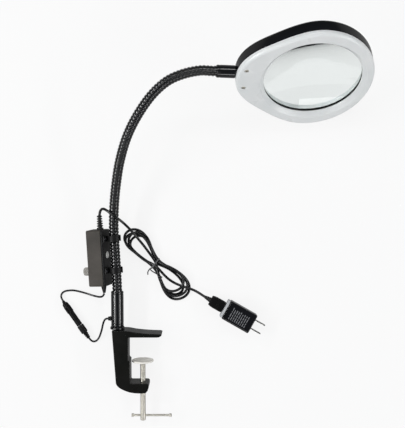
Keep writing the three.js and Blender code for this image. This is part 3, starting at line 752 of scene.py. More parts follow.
# ---- stage ---------------------------------------------------------------------------------------
@dataclass
class Stage:
    """The floor, the soft studio lights and the camera."""

    camera_height: float = 1080.0
    lens: float = 67.29
    sensor: float = 36.0
    floor_size: float = 30.0
    floor_drop: float = 0.0004

    def build(self) -> None:
        """Set up the camera, the floor and the lights."""
        self.camera()
        self.floor()
        self.lights()

    def camera(self) -> None:
        """Place the camera straight above the lamp, looking down."""
        data = bpy.data.cameras.new("camera")
        data.lens = self.lens
        data.sensor_width = self.sensor
        made = bpy.data.objects.new("camera", data)
        bpy.context.scene.collection.objects.link(made)
        made.location = LAY @ Vector((0, 0, self.camera_height))
        bpy.context.scene.camera = made

    def floor(self) -> None:
        """Lay a pale sheet under the lamp that glows a little, as a light table does."""
        half = self.floor_size / 2 / MM
        corners = [(-half, -half, 0), (half, -half, 0), (half, half, 0), (-half, half, 0)]
        place = Matrix.Translation((0, 0, -self.floor_drop)) @ Matrix.Scale(MM, 4)
        sheet = raised("floor", corners, [(0, 1, 2, 3)], place, LightTable("light_table"))

    def lights(self) -> None:
        """Hang large soft lamps round the lamp and set a dim even room."""
        scene = bpy.context.scene
        scene.view_settings.view_transform = "Standard"
        world = bpy.data.worlds.new("room")
        world.use_nodes = True
        tree = world.node_tree
        tree.nodes.clear()
        dim = add_node(tree, "ShaderNodeBackground", inputs={"Color": linear("#dfe9f5"), "Strength": 0.13})
        pale = add_node(tree, "ShaderNodeBackground", inputs={"Color": linear("#fafafa"), "Strength": 1.0})
        ray = add_node(tree, "ShaderNodeLightPath")
        both = add_node(tree, "ShaderNodeMixShader", inputs={
            0: ray.outputs["Is Camera Ray"], 1: dim.outputs["Background"], 2: pale.outputs["Background"]})
        add_node(tree, "ShaderNodeOutputWorld", inputs={"Surface": both.outputs["Shader"]})
        scene.world = world
        lamps = [
            ("key", (-1.3, -0.5, 1.5), 1.0, 1.0, 8.0),
            ("fill", (1.35, -0.7, 1.2), 0.8, 1.1, 6.0),
            ("near", (0.0, -1.7, 0.9), 1.6, 0.5, 9.0),
            ("strip left", (-1.25, 0.25, 0.95), 1.5, 0.11, 15.0),
            ("strip right", (1.3, 0.1, 0.85), 1.5, 0.11, 8.0),
            ("far", (0.0, 1.25, 1.75), 1.2, 0.4, 9.0),
        ]
        target = Vector((0.0, 0.05, 0.05))
        for name, at, width, height, power in lamps:
            data = bpy.data.lights.new(name, "AREA")
            data.shape = "RECTANGLE"
            data.size, data.size_y, data.energy = width, height, power
            made = bpy.data.objects.new(name, data)
            scene.collection.objects.link(made)
            made.location = at
            made.rotation_euler = (target - Vector(at)).to_track_quat("-Z", "Y").to_euler()


@dataclass(frozen=True)
class LightTable(Finish):
    """Opal glass sheet lit from below: near white all over, so shadows on it stay faint."""

    glow: float = 0.865
    mirrored_glow: float = 0.26     # what glossy surfaces see of it, as if it ended near the lamp

    def build(self, tree: bpy.types.NodeTree) -> None:
        """Add the nodes of this finish to an empty tree.

        Args:
            tree: the material's node tree.
        """
        ray = add_node(tree, "ShaderNodeLightPath")
        mirrored = add_node(tree, "ShaderNodeMath", {"operation": "SUBTRACT", "use_clamp": True}, {
            0: ray.outputs["Is Glossy Ray"], 1: ray.outputs["Is Transmission Ray"]})
        seen = self.spread(tree, mirrored.outputs[0], self.glow, self.mirrored_glow, 0.0, 1.0)
        sheet = add_node(tree, "ShaderNodeBsdfPrincipled", inputs={
            "Base Color": linear("#565656"), "Roughness": 0.9, "Specular IOR Level": 0.1,
            "Emission Color": linear("#fefefe"), "Emission Strength": seen})
        add_node(tree, "ShaderNodeOutputMaterial", inputs={"Surface": sheet.outputs["BSDF"]})


# ---- cords ---------------------------------------------------------------------------------------
@dataclass
class Hank:
    """The lead's bundle: long loops pinched by a tie, seen from above as an upper and a lower lobe."""

    centre: Point = (-63.4, -66.4)
    turn_deg: float = 52.0
    layers: tuple[float, float] = (2.3, 5.6)
    third_step: float = 3.4         # how far a third pass lies over the upper layer

    def spot(self, across: float, along: float, height: float) -> tuple[float, float, float]:
        """Return the lay point for a place across and along the bundle.

        Args:
            across: the distance across it.
            along: the distance along it.
            height: the height over the floor.

        Returns:
            The point.
        """
        angle = math.radians(self.turn_deg)
        c, s = math.cos(angle), math.sin(angle)
        return self.centre[0] + across * c - along * s, self.centre[1] + across * s + along * c, height

    def lobe(self, line: Sequence[Point], reach: float, wide: float, shift: float,
             height: float) -> list[tuple]:
        """Return one pass round a lobe.

        Args:
            line: the outermost pass, as (across, along) points.
            reach: this pass's length, as a share of the outermost one's.
            wide: this pass's width, as a share of the outermost one's.
            shift: how far its far end leans across.
            height: the pass's centre height.

        Returns:
            The pass's lay points.
        """
        far = max(abs(along) for _, along in line)
        middle = sum(across for across, _ in line) / len(line)
        found = []
        for across, along in line:
            lean = shift * (abs(along) / far) ** 2
            found.append(self.spot(middle * reach + (across - middle) * wide + lean, along * reach, height))
        return found

    def points(self) -> list[tuple]:
        """Return the lay points of the whole bundle, from the lead to the tail.

        Returns:
            The points in order.
        """
        upper = [(14.5, 20), (20.6, 32), (21.8, 43), (16.8, 53.4), (7.2, 57.4), (-1.6, 52.4), (-4.2, 41),
                 (-4.6, 27), (-4.8, 13)]
        lower = [(-9.4, -13), (-18.2, -25), (-24, -38), (-23.4, -49.5), (-15, -57.4), (-4.2, -60.2),
                 (5.4, -54.6), (9.6, -42), (9.6, -28), (7.0, -14)]
        low, top = self.layers
        around_lower = [(0.93, 0.92, 1.5, top), (1.0, 1.0, 0.0, low), (0.8, 0.84, 3.2, top + self.third_step),
                        (0.87, 0.74, -2.6, low)]
        around_upper = [(1.0, 1.04, 0.0, low), (0.88, 1.0, 2.2, top), (0.93, 0.92, -2.4,
                                                                       top + self.third_step),
                        (0.8, 0.96, -0.6, low)]
        rising = [(5.7, low), (2.0, low), (3.9, 5.1), (0.2, 5.1)]
        falling = [(-5.5, low), (-1.8, low), (-3.6, 5.1), (-1.6, 8.3)]
        route = [self.spot(9.4, 25, 11.4), self.spot(5.2, 11, 9.4), self.spot(2.0, 0, 8.3)]
        for k in range(4):
            route += self.lobe(lower, *around_lower[k])
            route.append(self.spot(rising[k][0], 0, rising[k][1]))
            route += self.lobe(upper, *around_upper[k])
            route.append(self.spot(falling[k][0], 0, falling[k][1]))
        return route + [self.spot(-3.6, -13, 8.4), self.spot(-5.6, -26, 8.2), self.spot(-4.4, -38, 8.2),
                        self.spot(-1.2, -48, 8.6)]


@dataclass
class Cords:
    """The USB lead with its bundle, and the two short cords of the in-line connector."""

    lead_diameter: float = 3.5
    link_diameter: float = 2.6
    lead: tuple = ((-136.5, -1.1, 23.4), (-136.9, 2.2, 24.2), (-134.6, 6.4, 26.6), (-131.0, 8.4, 29.8),
                   (-127.4, 6.2, 33.8), (-121.6, 2.2, 37.6), (-114.6, -2.8, 38.8), (-107.4, -8.2, 35.4),
                   (-101.2, -14.2, 28.6), (-95.6, -20.8, 20.6), (-90.4, -27.4, 14.4), (-84.8, -34.6, 11.6))
    tail: tuple = ((-12.6, -101.2, 8.6), (-9.4, -102.6, 8.4), (-6.2, -104.6, 9.2), (-3.2, -106.6, 10.6),
                   (-0.4, -108.4, 11.7), (4.76, -111.41, 12.1))
    upper: tuple = ((-187.1, -117.5, 4.8), (-190.2, -111.6, 3.2), (-189.6, -107.4, 2), (-186, -104.4, 1.5),
                    (-180.6, -103.2, 1.5), (-173.6, -103, 1.6), (-165, -104.6, 2.2), (-157, -106.6, 3.6),
                    (-149.6, -108.6, 6.2), (-143, -110, 9.4), (-136.8, -110.6, 12.8), (-132.6, -109.2, 15.6),
                    (-130.6, -105.8, 16.8))
    lower: tuple = ((-153.0, -166.0, 4.8), (-149.4, -170.4, 3.4), (-146.2, -171.8, 2.2), (-142.8, -170.6,
                                                                                          1.8),
                    (-139.6, -166.8, 2.6), (-136.8, -160.6, 5.6), (-134.4, -153.6, 10.4), (-132.6, -147.2,
                                                                                           14.8),
                    (-130.6, -142, 18.2), (-128.2, -139, 19.8), (-124.6, -138.4, 20.15))

    def build(self) -> None:
        """Make the three cords."""
        to_lay = LAY.inverted() @ DIMMER_BOX
        root = [tuple(to_lay @ Vector((-19.3, y, 0))) for y in (50.0, 54.0, 58.4)]
        lead = Route([*root, *self.lead[2:], *Hank().points(), *self.tail])
        lead.relax(6)
        self.lead_length = lead.length
        self.lead_piece = self.cord("usb_lead", lead, self.lead_diameter)
        upper = Route(self.upper[::-1])
        self.upper_piece = self.cord("link_cord_to_plug", upper, self.link_diameter)
        lower = Route(self.lower)
        self.lower_piece = self.cord("link_cord_to_socket", lower, self.link_diameter)
        LOG.info("cord lengths %.1f %.1f %.1f mm", lead.length, upper.length, lower.length)
        settle(self.lead_piece, "stand", "cord_jacket", "main_cord_lead", "cord_hank", "main_cord_tail")
        settle(self.upper_piece, "stand", "cord_jacket", "link_cord_upper")
        settle(self.lower_piece, "stand", "cord_jacket", "link_cord_lower")

    def cord(self, name: str, route: Route, diameter: float) -> bpy.types.Object:
        """Make one cord as a round curve along its route.

        Args:
            name: the piece's name.
            route: the cord's centre line.
            diameter: the jacket's diameter, in millimetres.

        Returns:
            The curve object.
        """
        data = bpy.data.curves.new(name, "CURVE")
        data.dimensions = "3D"
        data.bevel_depth = diameter / 2 * MM
        data.bevel_resolution = 4
        data.use_fill_caps = True
        count = max(16, int(route.length / 1.8))
        spline = data.splines.new("POLY")
        spline.points.add(count - 1)
        for point, at in zip(spline.points, route.at(np.linspace(0, route.length, count))):
            point.co = (*(LAY @ Vector(at)), 1.0)
        spline.use_smooth = True
        data.materials.append(VINYL_JACKET.material())
        made = bpy.data.objects.new(name, data)
        bpy.context.scene.collection.objects.link(made)
        return made


@dataclass
class BundleTie:
    """A vinyl-coated wire tie round the bundle, with its two twisted tails."""

    half_width: float = 8.9
    top: float = 11.2
    band: float = 2.0
    thickness: float = 0.9

    def build(self) -> bpy.types.Object:
        """Make the band and its tails as one piece and return it.

        Returns:
            The piece.
        """
        place = placed(LAY, (-63.4, -66.4, 0), (0, 0, 52))
        rings = []
        steps = 40
        for i in range(steps):
            angle = 2 * math.pi * i / steps
            c, s = math.cos(angle), math.sin(angle)
            x = self.half_width * math.copysign(abs(c) ** 0.7, c)
            z = self.top / 2 + (self.top / 2 - 0.2) * math.copysign(abs(s) ** 0.7, s)
            inner = 1 - self.thickness / self.half_width
            mid = self.top / 2
            half = self.band / 2
            rings.append([(x, -half, z), (x, half, z), (x * inner, half, mid + (z - mid) * inner * 0.94),
                          (x * inner, -half, mid + (z - mid) * inner * 0.94)])
        band = lofted("bundle_tie", rings, place, TIE_VINYL, closed=True)
        tails = [
            [(-70.2, -73.2, 9.4), (-69.2, -75.2, 7.4), (-66.6, -77.6, 4.2), (-62, -80.4, 2.2),
             (-57.6, -83.6, 1.6), (-53.9, -85.6, 1.6)],
            [(-69.4, -72.2, 9.8), (-71.6, -74.8, 8.6), (-73.4, -78, 5.4), (-73.6, -81.4, 2.6)],
        ]
        for i, line in enumerate(tails):
            tail = wound(f"tie_tail_{i}", Route(line), (0, Route(line).length), 0.8, lambda t: 0.0, 2.0,
                         TIE_VINYL, LAY, sides=10, per_turn=2)
            combined(band, Cut.JOIN, tail)
        return settle(band, "stand", "tie_coating", "hank_tie")


# ---- clamp ---------------------------------------------------------------------------------------
@dataclass
class Clamp:
    """The G-shaped casting, its screw with swivel pad and sliding bar, and the neck's socket."""

    width: float = 28.0
    edge: float = 1.3
    screw_x: float = 33.4
    screw_radius: float = 3.5
    screw_end: float = -122.8
    thread_pitch: float = 1.25
    thread_depth: float = 0.26
    pad_top: float = -41.4
    pad_radius: float = 14.5
    pad_thickness: float = 2.2
    hub_radius: float = 6.0
    hub_length: float = 4.6
    bar_y: float = -116.3
    bar_radius: float = 1.5
    bar_from: float = 18.0
    bar_to: float = 71.6
    cap_radius: float = 2.3
    cap_length: float = 3.2
    socket_radius: float = 8.25
    socket_top: float = 50.5
    grommet_y: float = 14.0

    def build(self) -> None:
        """Make every piece of the clamp."""
        self.casting()
        self.socket()
        self.screw()
        self.pad()
        self.sliding_bar()

    def outline(self) -> list[tuple[float, float]]:
        """Return the casting's outline, seen from its side.

        Returns:
            The outline's points in order.
        """
        line = [(-6.2, 0), (-1.3, -70)]
        line += arc_points((-1.3, -70), (1, -77), (15.9, -81.6))
        line += arc_points((15.9, -81.6), (26, -84), (37.5, -82.8))
        line += arc_points((37.5, -82.8), (41.6, -80), (42, -73.5))
        line += arc_points((42, -73.5), (42, -70), (38.8, -70), 5) + [(18.6, -70)]
        line += arc_points((18.6, -70), (17.2, -70), (17.2, -68.4), 4)
        line += [(17.2, -41), (15, -39)]
        line += arc_points((15, -10.6), (15, -8.8), (16.8, -8.8), 4)
        line += [(52, -8.8)]
        line += arc_points((52, -8.8), (57, -8.8), (59, -6))
        line += arc_points((59, -6), (59.4, -4.4), (56, -4.2))
        line += arc_points((56, -4.2), (36, -3.8), (22, -1.6))
        line += arc_points((22, -1.6), (15, 0), (10.4, 0))
        return line

    def casting(self) -> None:
        """Make the enamelled casting with its screw hole and cast-in side pockets."""
        half = self.width / 2
        body = slab("clamp_casting", self.outline(), -half, half, CLAMP, STOVED_ENAMEL, self.edge, 4)
        hole = turned("hole", [(0, -90), (self.screw_radius + GAP, -90), (self.screw_radius + GAP, -60),
                               (0, -60)], placed(CLAMP, (self.screw_x, 0, 0)), STOVED_ENAMEL)
        grub = turned("hole", [(0, -half - 2), (2.8, -half - 2), (2.8, -5), (0, -5)],
                      placed(CLAMP, (0, -12, 0)) @ ALONG_Z, STOVED_ENAMEL)
        combined(body, Cut.AWAY, hole, grub)
        settle(body, "stand", "clamp_paint", "clamp_frame")
        screw = turned("socket_grub_screw", [(0, -half + 0.6), (2.2, -half + 0.6), (2.5, -half + 1),
                                             (2.5, -4.4), (0, -4.4)],
                       placed(CLAMP, (0, -12, 0)) @ ALONG_Z, ZINC_PLATE, 24)
        key = turned("hole", [(0, -half), (1.25, -half), (1.25, -half + 2.4), (0, -half + 2.4)],
                     placed(CLAMP, (0, -12, 0)) @ ALONG_Z, ZINC_PLATE, 6)
        settle(combined(screw, Cut.AWAY, key), "stand", "zinc_steel", "grub_screw")

    def socket(self) -> None:
        """Make the tube that holds the neck, its collar, and the grommet of the short cord."""
        r, top = self.socket_radius, self.socket_top
        lip = [(r - i, top - d) for i, d in fillet(0.9)]
        profile = [(0, -21), (4, -21), (4, GAP), (r, GAP), (r, 7), (r - 0.25, 7.4), (r - 0.25, 8.2), (r, 8.6),
                   (r, top - 4.2), (r - 0.25, top - 3.8), (r - 0.25, top - 3), (r, top - 2.6), *lip,
                   (6.9, top - 0.1), (6.8, top - 1), (6.8, top - 15), (0, top - 15)]
        tube = turned("socket_tube", profile, CLAMP, TUBE_ENAMEL, 56)
        hole = turned("hole", [(0, -20), (2.4, -20), (2.4, -5.4), (0, -5.4)],
                      placed(CLAMP, (0, self.grommet_y, 0)) @ ALONG_X, TUBE_ENAMEL, 24)
        settle(combined(tube, Cut.AWAY, hole), "stand", "black_tube", "neck_socket")
        ring = [(r + GAP, GAP), (9.3, GAP), (9.5, 0.5), (9.5, 2.4)]
        ring += [(9.5 - i, 3.4 - d) for i, d in fillet(0.9)] + [(r + GAP, 3.4)]
        settle(turned("socket_foot_ring", ring, CLAMP, TUBE_ENAMEL, 56), "stand", "black_tube",
               "socket_collar")
        grommet = [(0, -12.4), (1.9, -12.4), (2.6, -12), (2.9, -10.4), (2.5, -10.1), (3.2, -9.6), (3.2,
                                                                                                   -8.75),
                   (2, -8.7), (2, -6.3), (0, -6.3)]
        settle(turned("socket_grommet", grommet, placed(CLAMP, (0, self.grommet_y, 0)) @ ALONG_X,
                      MOULDED_RUBBER, 28), "stand", "black_rubber", "cord_grommet")

    def screw(self) -> None:
        """Make the threaded spindle with its plain lower end and the bar's cross hole."""
        hub = self.pad_top - self.hub_length
        line = Route([(self.screw_x, self.screw_end + 11.5, 0), (self.screw_x, hub - 1.0, 0)], 80)

        def groove(turn: float) -> float:
            """Return the depth of a triangular thread at a place in its turn."""
            return self.thread_depth * abs(2 * turn - 1)

        body = wound("clamp_spindle_thread", line, (0, line.length), self.screw_radius, groove,
                     self.thread_pitch, ZINC_PLATE, CLAMP, sides=24, per_turn=6)
        end, r = self.screw_end, self.screw_radius
        lower = [(0, end), (r - 0.6, end), (r, end + 0.6), (r, end + 11.2), (r - 0.5, end + 11.8), (0,
            end + 11.8)]
        shank = turned("spindle_head", lower, placed(CLAMP, (self.screw_x, 0, 0)), ZINC_PLATE, 32)
        neck = turned("spindle_neck", [(0, hub - 1.4), (2.7, hub - 1.4), (2.7, hub + 0.4), (3.3, hub + 0.9),
                                       (3.3, hub + 2), (0, hub + 2)],
                      placed(CLAMP, (self.screw_x, 0, 0)), ZINC_PLATE, 32)
        hole = turned("hole", [(0, -9), (self.bar_radius + GAP, -9), (self.bar_radius + GAP, 9), (0, 9)],
                      placed(CLAMP, (self.screw_x, self.bar_y, 0)) @ ALONG_X, ZINC_PLATE, 20)
        combined(shank, Cut.AWAY, hole)
        settle(body, "spindle", "zinc_steel", "clamp_spindle")
        settle(shank, "spindle", "zinc_steel")
        settle(neck, "spindle", "zinc_steel")

    def pad(self) -> None:
        """Make the swivel pad with its hub."""
        top, r = self.pad_top, self.pad_radius
        hub = top - self.hub_length
        under = top - self.pad_thickness
        bore = self.screw_radius + GAP
        profile = [(0, hub + 2.4), (bore, hub + 2.4), (bore, hub + 0.3), (bore + 0.3, hub),
                   (self.hub_radius - 0.4, hub), (self.hub_radius, hub + 0.4), (self.hub_radius, under - 0.5),
                   (self.hub_radius + 0.5, under)]
        profile += [(r - 0.7, under), (r - 0.2, under + 0.25), (r, under + 0.8), (r, top - 0.8)]
        profile += [(r - i, top - d) for i, d in fillet(0.7)] + [(r - 3.2, top), (r - 3.5, top - 0.3), (0,
            top - 0.3)]
        # the pad's near-white zinc is a painted reflection of the pale surroundings
        piece = turned("swivel_pad_disc", profile, placed(CLAMP, (self.screw_x, 0, 0)), PAD_ZINC_PAINTED_REFLECTION, 64)
        settle(piece, "pad", "zinc_steel", "swivel_pad")

    def sliding_bar(self) -> None:
        """Make the bar that turns the screw, with a pressed cap on each end."""
        place = placed(CLAMP, (0, self.bar_y, 0)) @ ALONG_X
        r = self.bar_radius
        rod = [(0, self.bar_from + 1.2), (r - 0.3, self.bar_from + 1.2), (r, self.bar_from + 1.6),
               (r, self.bar_to - 1.6), (r - 0.3, self.bar_to - 1.2), (0, self.bar_to - 1.2)]
        settle(turned("sliding_bar", rod, place, ZINC_PLATE, 24), "tommy", "zinc_steel", "tommy_bar")
        for name, node, end, way in (("bar_cap_left", "tommy_cap_left", self.bar_from, 1),
                                     ("bar_cap_right", "tommy_cap_right", self.bar_to, -1)):
            cr, cl, bore = self.cap_radius, self.cap_length, r + 0.08
            profile = [(0, 0), (cr - 0.8, 0), (cr - 0.25, 0.2), (cr, 0.8), (cr, cl - 0.5), (cr - 0.3, cl),
                       (bore, cl), (bore, 1.1), (0, 1.1)]
            line = [(a, end + way * b) for a, b in profile]
            settle(turned(name, line, place, ZINC_PLATE, 28), "tommy", "zinc_steel", node)


# ---- gooseneck -----------------------------------------------------------------------------------
@dataclass
class Gooseneck:
    """Wound steel strip round a spring core, made in stretches that each hold one joint in their middle."""

    radius: float = 6.5
    pitch: float = 4.5
    crown: float = 1.2              # how deep the groove between two turns is
    flat: float = 0.5               # how much of a turn its flat band takes
    first_joint: float = 127.0
    joint_pitch: float = 37.0
    joints: int = 7
    end_length: float = 8.5         # the fixed end at the ferrule
    bend_margin: float = 2          # how far inside a stretch its two end points are taken

    def route(self) -> Route:
        """Return the neck's centre line, from inside the socket to the head's ferrule.

        Returns:
            The line.
        """
        to_lay = LAY.inverted()

        def lay(place: Matrix, point: Point) -> tuple:
            """Return a making frame's point in the lay frame."""
            return tuple(to_lay @ (place @ Vector(point)))

        points = [lay(CLAMP, (0, 36.5, 0)), lay(CLAMP, (0, 50.5, 0))]
        points += [lay(DIMMER, (0, y, 0)) for y in (-24, -8, 10, 34)]
        points += [(-116.6, -6, 28.9), (-115.6, 14, 31.6), (-112.6, 39, 37.2), (-107, 68, 45.8),
                   (-96.3, 99.7, 57), (-81, 127, 67.8), (-62, 151, 77), (-43.4, 166, 82.8), (-24.2, 173.9,
                                                                                             86)]
        points += [lay(HEAD, (x, 0, -13)) for x in (-141, -127, -121)]
        return Route(points)

    def groove(self, turn: float) -> float:
        """Return how far the surface lies below the crown: a flat band, then a deep groove to the next.

        Args:
            turn: the place within one turn, from 0 to 1.

        Returns:
            The depth below the crown.
        """
        side = abs(2 * turn - 1)
        if side < self.flat:
            return 0.06 * (side / self.flat) ** 2
        return 0.06 + self.crown * ((side - self.flat) / (1 - self.flat)) ** 1.4

    def build(self) -> None:
        """Make the neck's stretches, one across each joint, and its fixed ends."""
        line = self.route()
        step = self.pitch / 10

        def grid(along: float) -> float:
            """Return the place on the winding's grid nearest to one on the line."""
            return round(along / step) * step

        cuts = [grid(self.first_joint + (i - 0.5) * self.joint_pitch) for i in range(self.joints)]
        cuts.append(grid(line.length - self.end_length))
        whole = (0.0, line.length)
        nodes = ["neck_base", *(f"neck_link_{i}" for i in range(1, self.joints)), "neck_end"]

        def stretch(name: str, start: float, end: float) -> bpy.types.Object:
            """Make the winding between two places on the line."""
            return wound(name, line, (start, end), self.radius, self.groove, self.pitch, STRIP_LACQUER, LAY,
                         whole=whole)

        settle(stretch("neck_foot", 0.0, cuts[0]), "stand", "gooseneck", nodes[0])
        for i in range(self.joints):
            piece = stretch(f"neck_stretch_{i + 1}", cuts[i], cuts[i + 1])
            start, end = (LAY @ Vector(line.at(s)) for s in (cuts[i] + self.bend_margin,
                                                             cuts[i + 1] - self.bend_margin))
            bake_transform(piece)
            if i + 1 < self.joints:
                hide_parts(nodes[i + 1])
        settle(stretch("neck_tip", cuts[-1], line.length), "head", "gooseneck", nodes[-1])


# ---- head ----------------------------------------------------------------------------------------
@dataclass
class Head:
    """The egg-shaped light head: glossy shell, opal cover, lens, gasket, screws and ferrule."""

    far: float = 76.3
    half_width: float = 82.0
    nose: float = -97.3
    depth: float = 25.4
    split: float = 6.4
    window: float = 61.7
    lens_radius: float = 63.9
    lens_sag: float = 6.0
    lens_front: float = -9.1
    lens_back: float = -12.1
    seat: float = -13.0
    depth_in: float = -24.6
    rib: float = 67.0
    ferrule_z: float = -13.0
    screws: tuple = ((-86.0, -15.0), (-86.0, 15.0))

    def outline(self) -> np.ndarray:
        """Return the outline's points in order: half an ellipse, then two bends a side to the nose.

        Returns:
            The points, as rows of x and y.
        """
        half, nose = self.half_width, self.nose
        found = []
        for i in range(64):
            angle = -math.pi / 2 + math.pi * i / 64
            found.append((self.far * math.cos(angle), half * math.sin(angle)))
        bends = [((0, half), (-21, half), (-41.5, half - 13.4), (-57.2, half - 24.1)),
                 ((-57.2, half - 24.1), (-73, half - 34.8), (nose, 32), (nose, 0))]
        for a, b, c, d in bends:
            for i in range(24):
                t = i / 24
                k = ((1 - t) ** 3, 3 * t * (1 - t) ** 2, 3 * t * t * (1 - t), t**3)
                found.append(tuple(k[0] * a[n] + k[1] * b[n] + k[2] * c[n] + k[3] * d[n] for n in (0, 1)))
        side = [(x, -y) for x, y in found[64:]]
        return np.array(found + [(nose, 0.0)] + side[:0:-1])

    def ring(self, inset: float, z: float) -> list[tuple]:
        """Return the outline drawn in by a true offset, at a height.

        Args:
            inset: how far it is drawn in.
            z: the height.

        Returns:
            The points in order.
        """
        line = self.outline()
        along = np.roll(line, -1, 0) - np.roll(line, 1, 0)
        along /= np.linalg.norm(along, axis=1)[:, None]
        inward = np.stack([-along[:, 1], along[:, 0]], 1)
        return [(x, y, z) for x, y in line + inward * inset]

    def circle(self, radius: float, z: float) -> list[tuple]:
        """Return a circle whose points stand at the same bearings as the outline's.

        Args:
            radius: the circle's radius.
            z: its height.

        Returns:
            The points in order.
        """
        found = []
        for x, y in self.outline():
            angle = math.atan2(y, x)
            found.append((radius * math.cos(angle), radius * math.sin(angle), z))
        return found

    def build(self) -> None:
        """Make every piece of the head."""
        self.cover()
        self.shell()
        self.optics()
        self.fastenings()
        self.ferrule()

    def cover(self) -> None:
        """Make the opal front cover with its window and the screws' counterbores."""
        split, window = self.split, self.window
        rings = [self.ring(0, -split), self.ring(0, -5)]
        rings += [self.ring(i, -d) for i, d in fillet(4.6, steps=8)]
        rings += [self.circle(window + r, z) for r, z in ((7.0, 0), (5.4, -0.1), (4.7, -0.5), (0.6, -4.4),
                                                          (0.15, -5.0),
                                                          (0, -5.5))]
        rings += [self.circle(window, -split), self.circle(self.rib - 1.2, -split),
                  self.circle(self.rib - 1.2, -2.2),
                  self.ring(4.2, -2.2), self.ring(2.4, -4.2), self.ring(2.4, -split)]
        piece = lofted("opal_cover", rings, HEAD, OPAL, closed=True, crease=40)
        holes = []
        for x, y in self.screws:
            for radius, bottom in ((2.9, -1.5), (1.5, -7.0)):
                holes.append(turned("hole", [(0, bottom), (radius, bottom), (radius, 4), (0, 4)],
                                    placed(HEAD, (x, y, 0)) @ ALONG_Z, OPAL, 24))
        settle(combined(piece, Cut.AWAY, *holes, crease=40), "head", "opal_plastic", "front_cover")

    def shell(self) -> None:
        """Make the glossy rear shell with the lens's seat and the channel for the light ring."""
        top, back = -self.split - GAP, -self.depth
        rings = [self.ring(2.4, top), self.ring(0.5, top), self.ring(0, top - 0.5)]
        rings += [self.ring(i, back + d) for i, d in fillet(5.0, steps=8)]
        rings += [self.circle(self.window + 2.4, back), self.circle(self.window + 1.2, back + 0.25),
                  self.circle(self.window + 0.35, back + 0.9), self.circle(self.window, back + 2),
                  self.circle(self.window, self.seat), self.circle(self.lens_radius + 0.6, self.seat),
                  self.circle(self.lens_radius + 0.6, top), self.circle(self.rib, top),
                  self.circle(self.rib, back + 2.4), self.ring(4.4, back + 2.4), self.ring(2.4, back + 4.4)]
        piece = lofted("rear_shell_gloss", rings, HEAD, GLOSS_ABS, closed=True, crease=40)
        hole = turned("hole", [(0, -110), (4.9, -110), (4.9, -80), (0, -80)],
                      placed(HEAD, (0, 0, self.ferrule_z)) @ ALONG_X, GLOSS_ABS, 32)
        settle(combined(piece, Cut.AWAY, hole, crease=40), "head", "black_gloss", "rear_shell")

    def optics(self) -> None:
        """Make the biconvex lens and the gasket that holds it."""
        rim, steps = self.lens_radius, 18
        bulge = [rim * i / steps for i in range(steps + 1)]
        back = [(r, self.lens_back - self.lens_sag * (1 - (r / rim) ** 2)) for r in bulge]
        front = [(r, self.lens_front + self.lens_sag * (1 - (r / rim) ** 2)) for r in reversed(bulge)]
        lens = turned("magnifier_glass", back + front, placed(HEAD, (0, 0, 0)) @ ALONG_Z, CROWN_GLASS, 128,
                      crease=50)
        settle(lens, "head", "lens_glass", "magnifier_lens")
        sleeve = [(self.window - 0.7, self.depth_in), (self.window - 0.1, self.depth_in),
                  (self.window - 0.1, self.seat), (self.window - 0.7, self.seat - 0.2)]
        settle(turned("lens_seat_sleeve", sleeve, placed(HEAD, (0, 0, 0)) @ ALONG_Z, OPAL, 128), "head",
               "opal_plastic")
        low, high, inner, outer = -8.6, -7.5, self.window - 0.2, rim - 0.2
        gasket = [(inner + 0.3, low), (outer, low), (outer, high), (inner + 0.3, high), (inner, high - 0.3),
                  (inner, low + 0.3)]
        settle(turned("lens_gasket_ring", gasket, placed(HEAD, (0, 0, 0)) @ ALONG_Z, MOULDED_RUBBER, 128),
               "head",
               "black_rubber", "lens_gasket")
        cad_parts["led_board"].data.materials.clear()
        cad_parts["led_board"].data.materials.append(WHITE_RESIST.material())

    def fastenings(self) -> None:
        """Make the cover's cross-head screws, and finish the nut inside."""
        for (name, node), (x, y) in zip((("cover_screw_a", "cover_screw_low"), ("cover_screw_b",
                                                                                "cover_screw_high")),
                                        self.screws):
            settle(cross_screw(name, placed(HEAD, (x, y, -1.2)) @ ALONG_Z, 2.5, 0.9, 1.2, 9), "head",
                   "zinc_steel", node)
        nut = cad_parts["neck_nut"]
        nut.data.materials.clear()
        nut.data.materials.append(ZINC_PLATE.material())

    def ferrule(self) -> None:
        """Make the tube that joins the neck to the shell."""
        place = placed(HEAD, (0, 0, self.ferrule_z)) @ ALONG_X
        back, nose = -121.3, -97.6
        profile = [(0, back + 0.4), (6.9, back + 0.4), (7.1, back), (7.4, back + 0.1), (7.9, back + 0.9),
                   (8, back + 1.6),
                   (8, back + 3.4), (7.75, back + 3.8), (7.75, back + 4.6), (8, back + 5), (8, nose - 1.2),
                   (7.7, nose - 0.3), (7.2, nose), (4.6, nose), (4.6, nose + 10), (0, nose + 10)]
        settle(turned("head_ferrule_tube", profile, place, TUBE_ENAMEL, 48), "head", "black_tube",
               "head_ferrule")


def cross_screw(name: str, place: Matrix, radius: float, height: float, shank: float, length: float,
                finish: Finish = ZINC_PLATE) -> bpy.types.Object:
    """Make a pan-head screw with a cross recess; its head stands on y = 0 of the placing frame.

    Args:
        name: the piece's name.
        place: the making frame, Y out of the head.
        radius: the head's radius.
        height: the head's height.
        shank: the shank's radius.
        length: the shank's length.
        finish: what it is finished in.

    Returns:
        The new object.
    """
    profile = [(0, -length), (shank * 0.5, -length), (shank, -length + shank), (shank, 0), (radius - 0.1, 0),
               (radius, 0.15), (radius, height * 0.45), (radius * 0.86, height * 0.8), (radius * 0.5, height),
               (0, height * 1.02)]
    head = turned(name, profile, place, finish, 28)
    long, thin = radius * 0.62, radius * 0.15
    bars = [block("bar", (-a, height * 0.45, -b), (a, height + 1, b), place, finish)
            for a, b in ((long, thin), (thin, long))]
    return combined(head, Cut.AWAY, *bars)


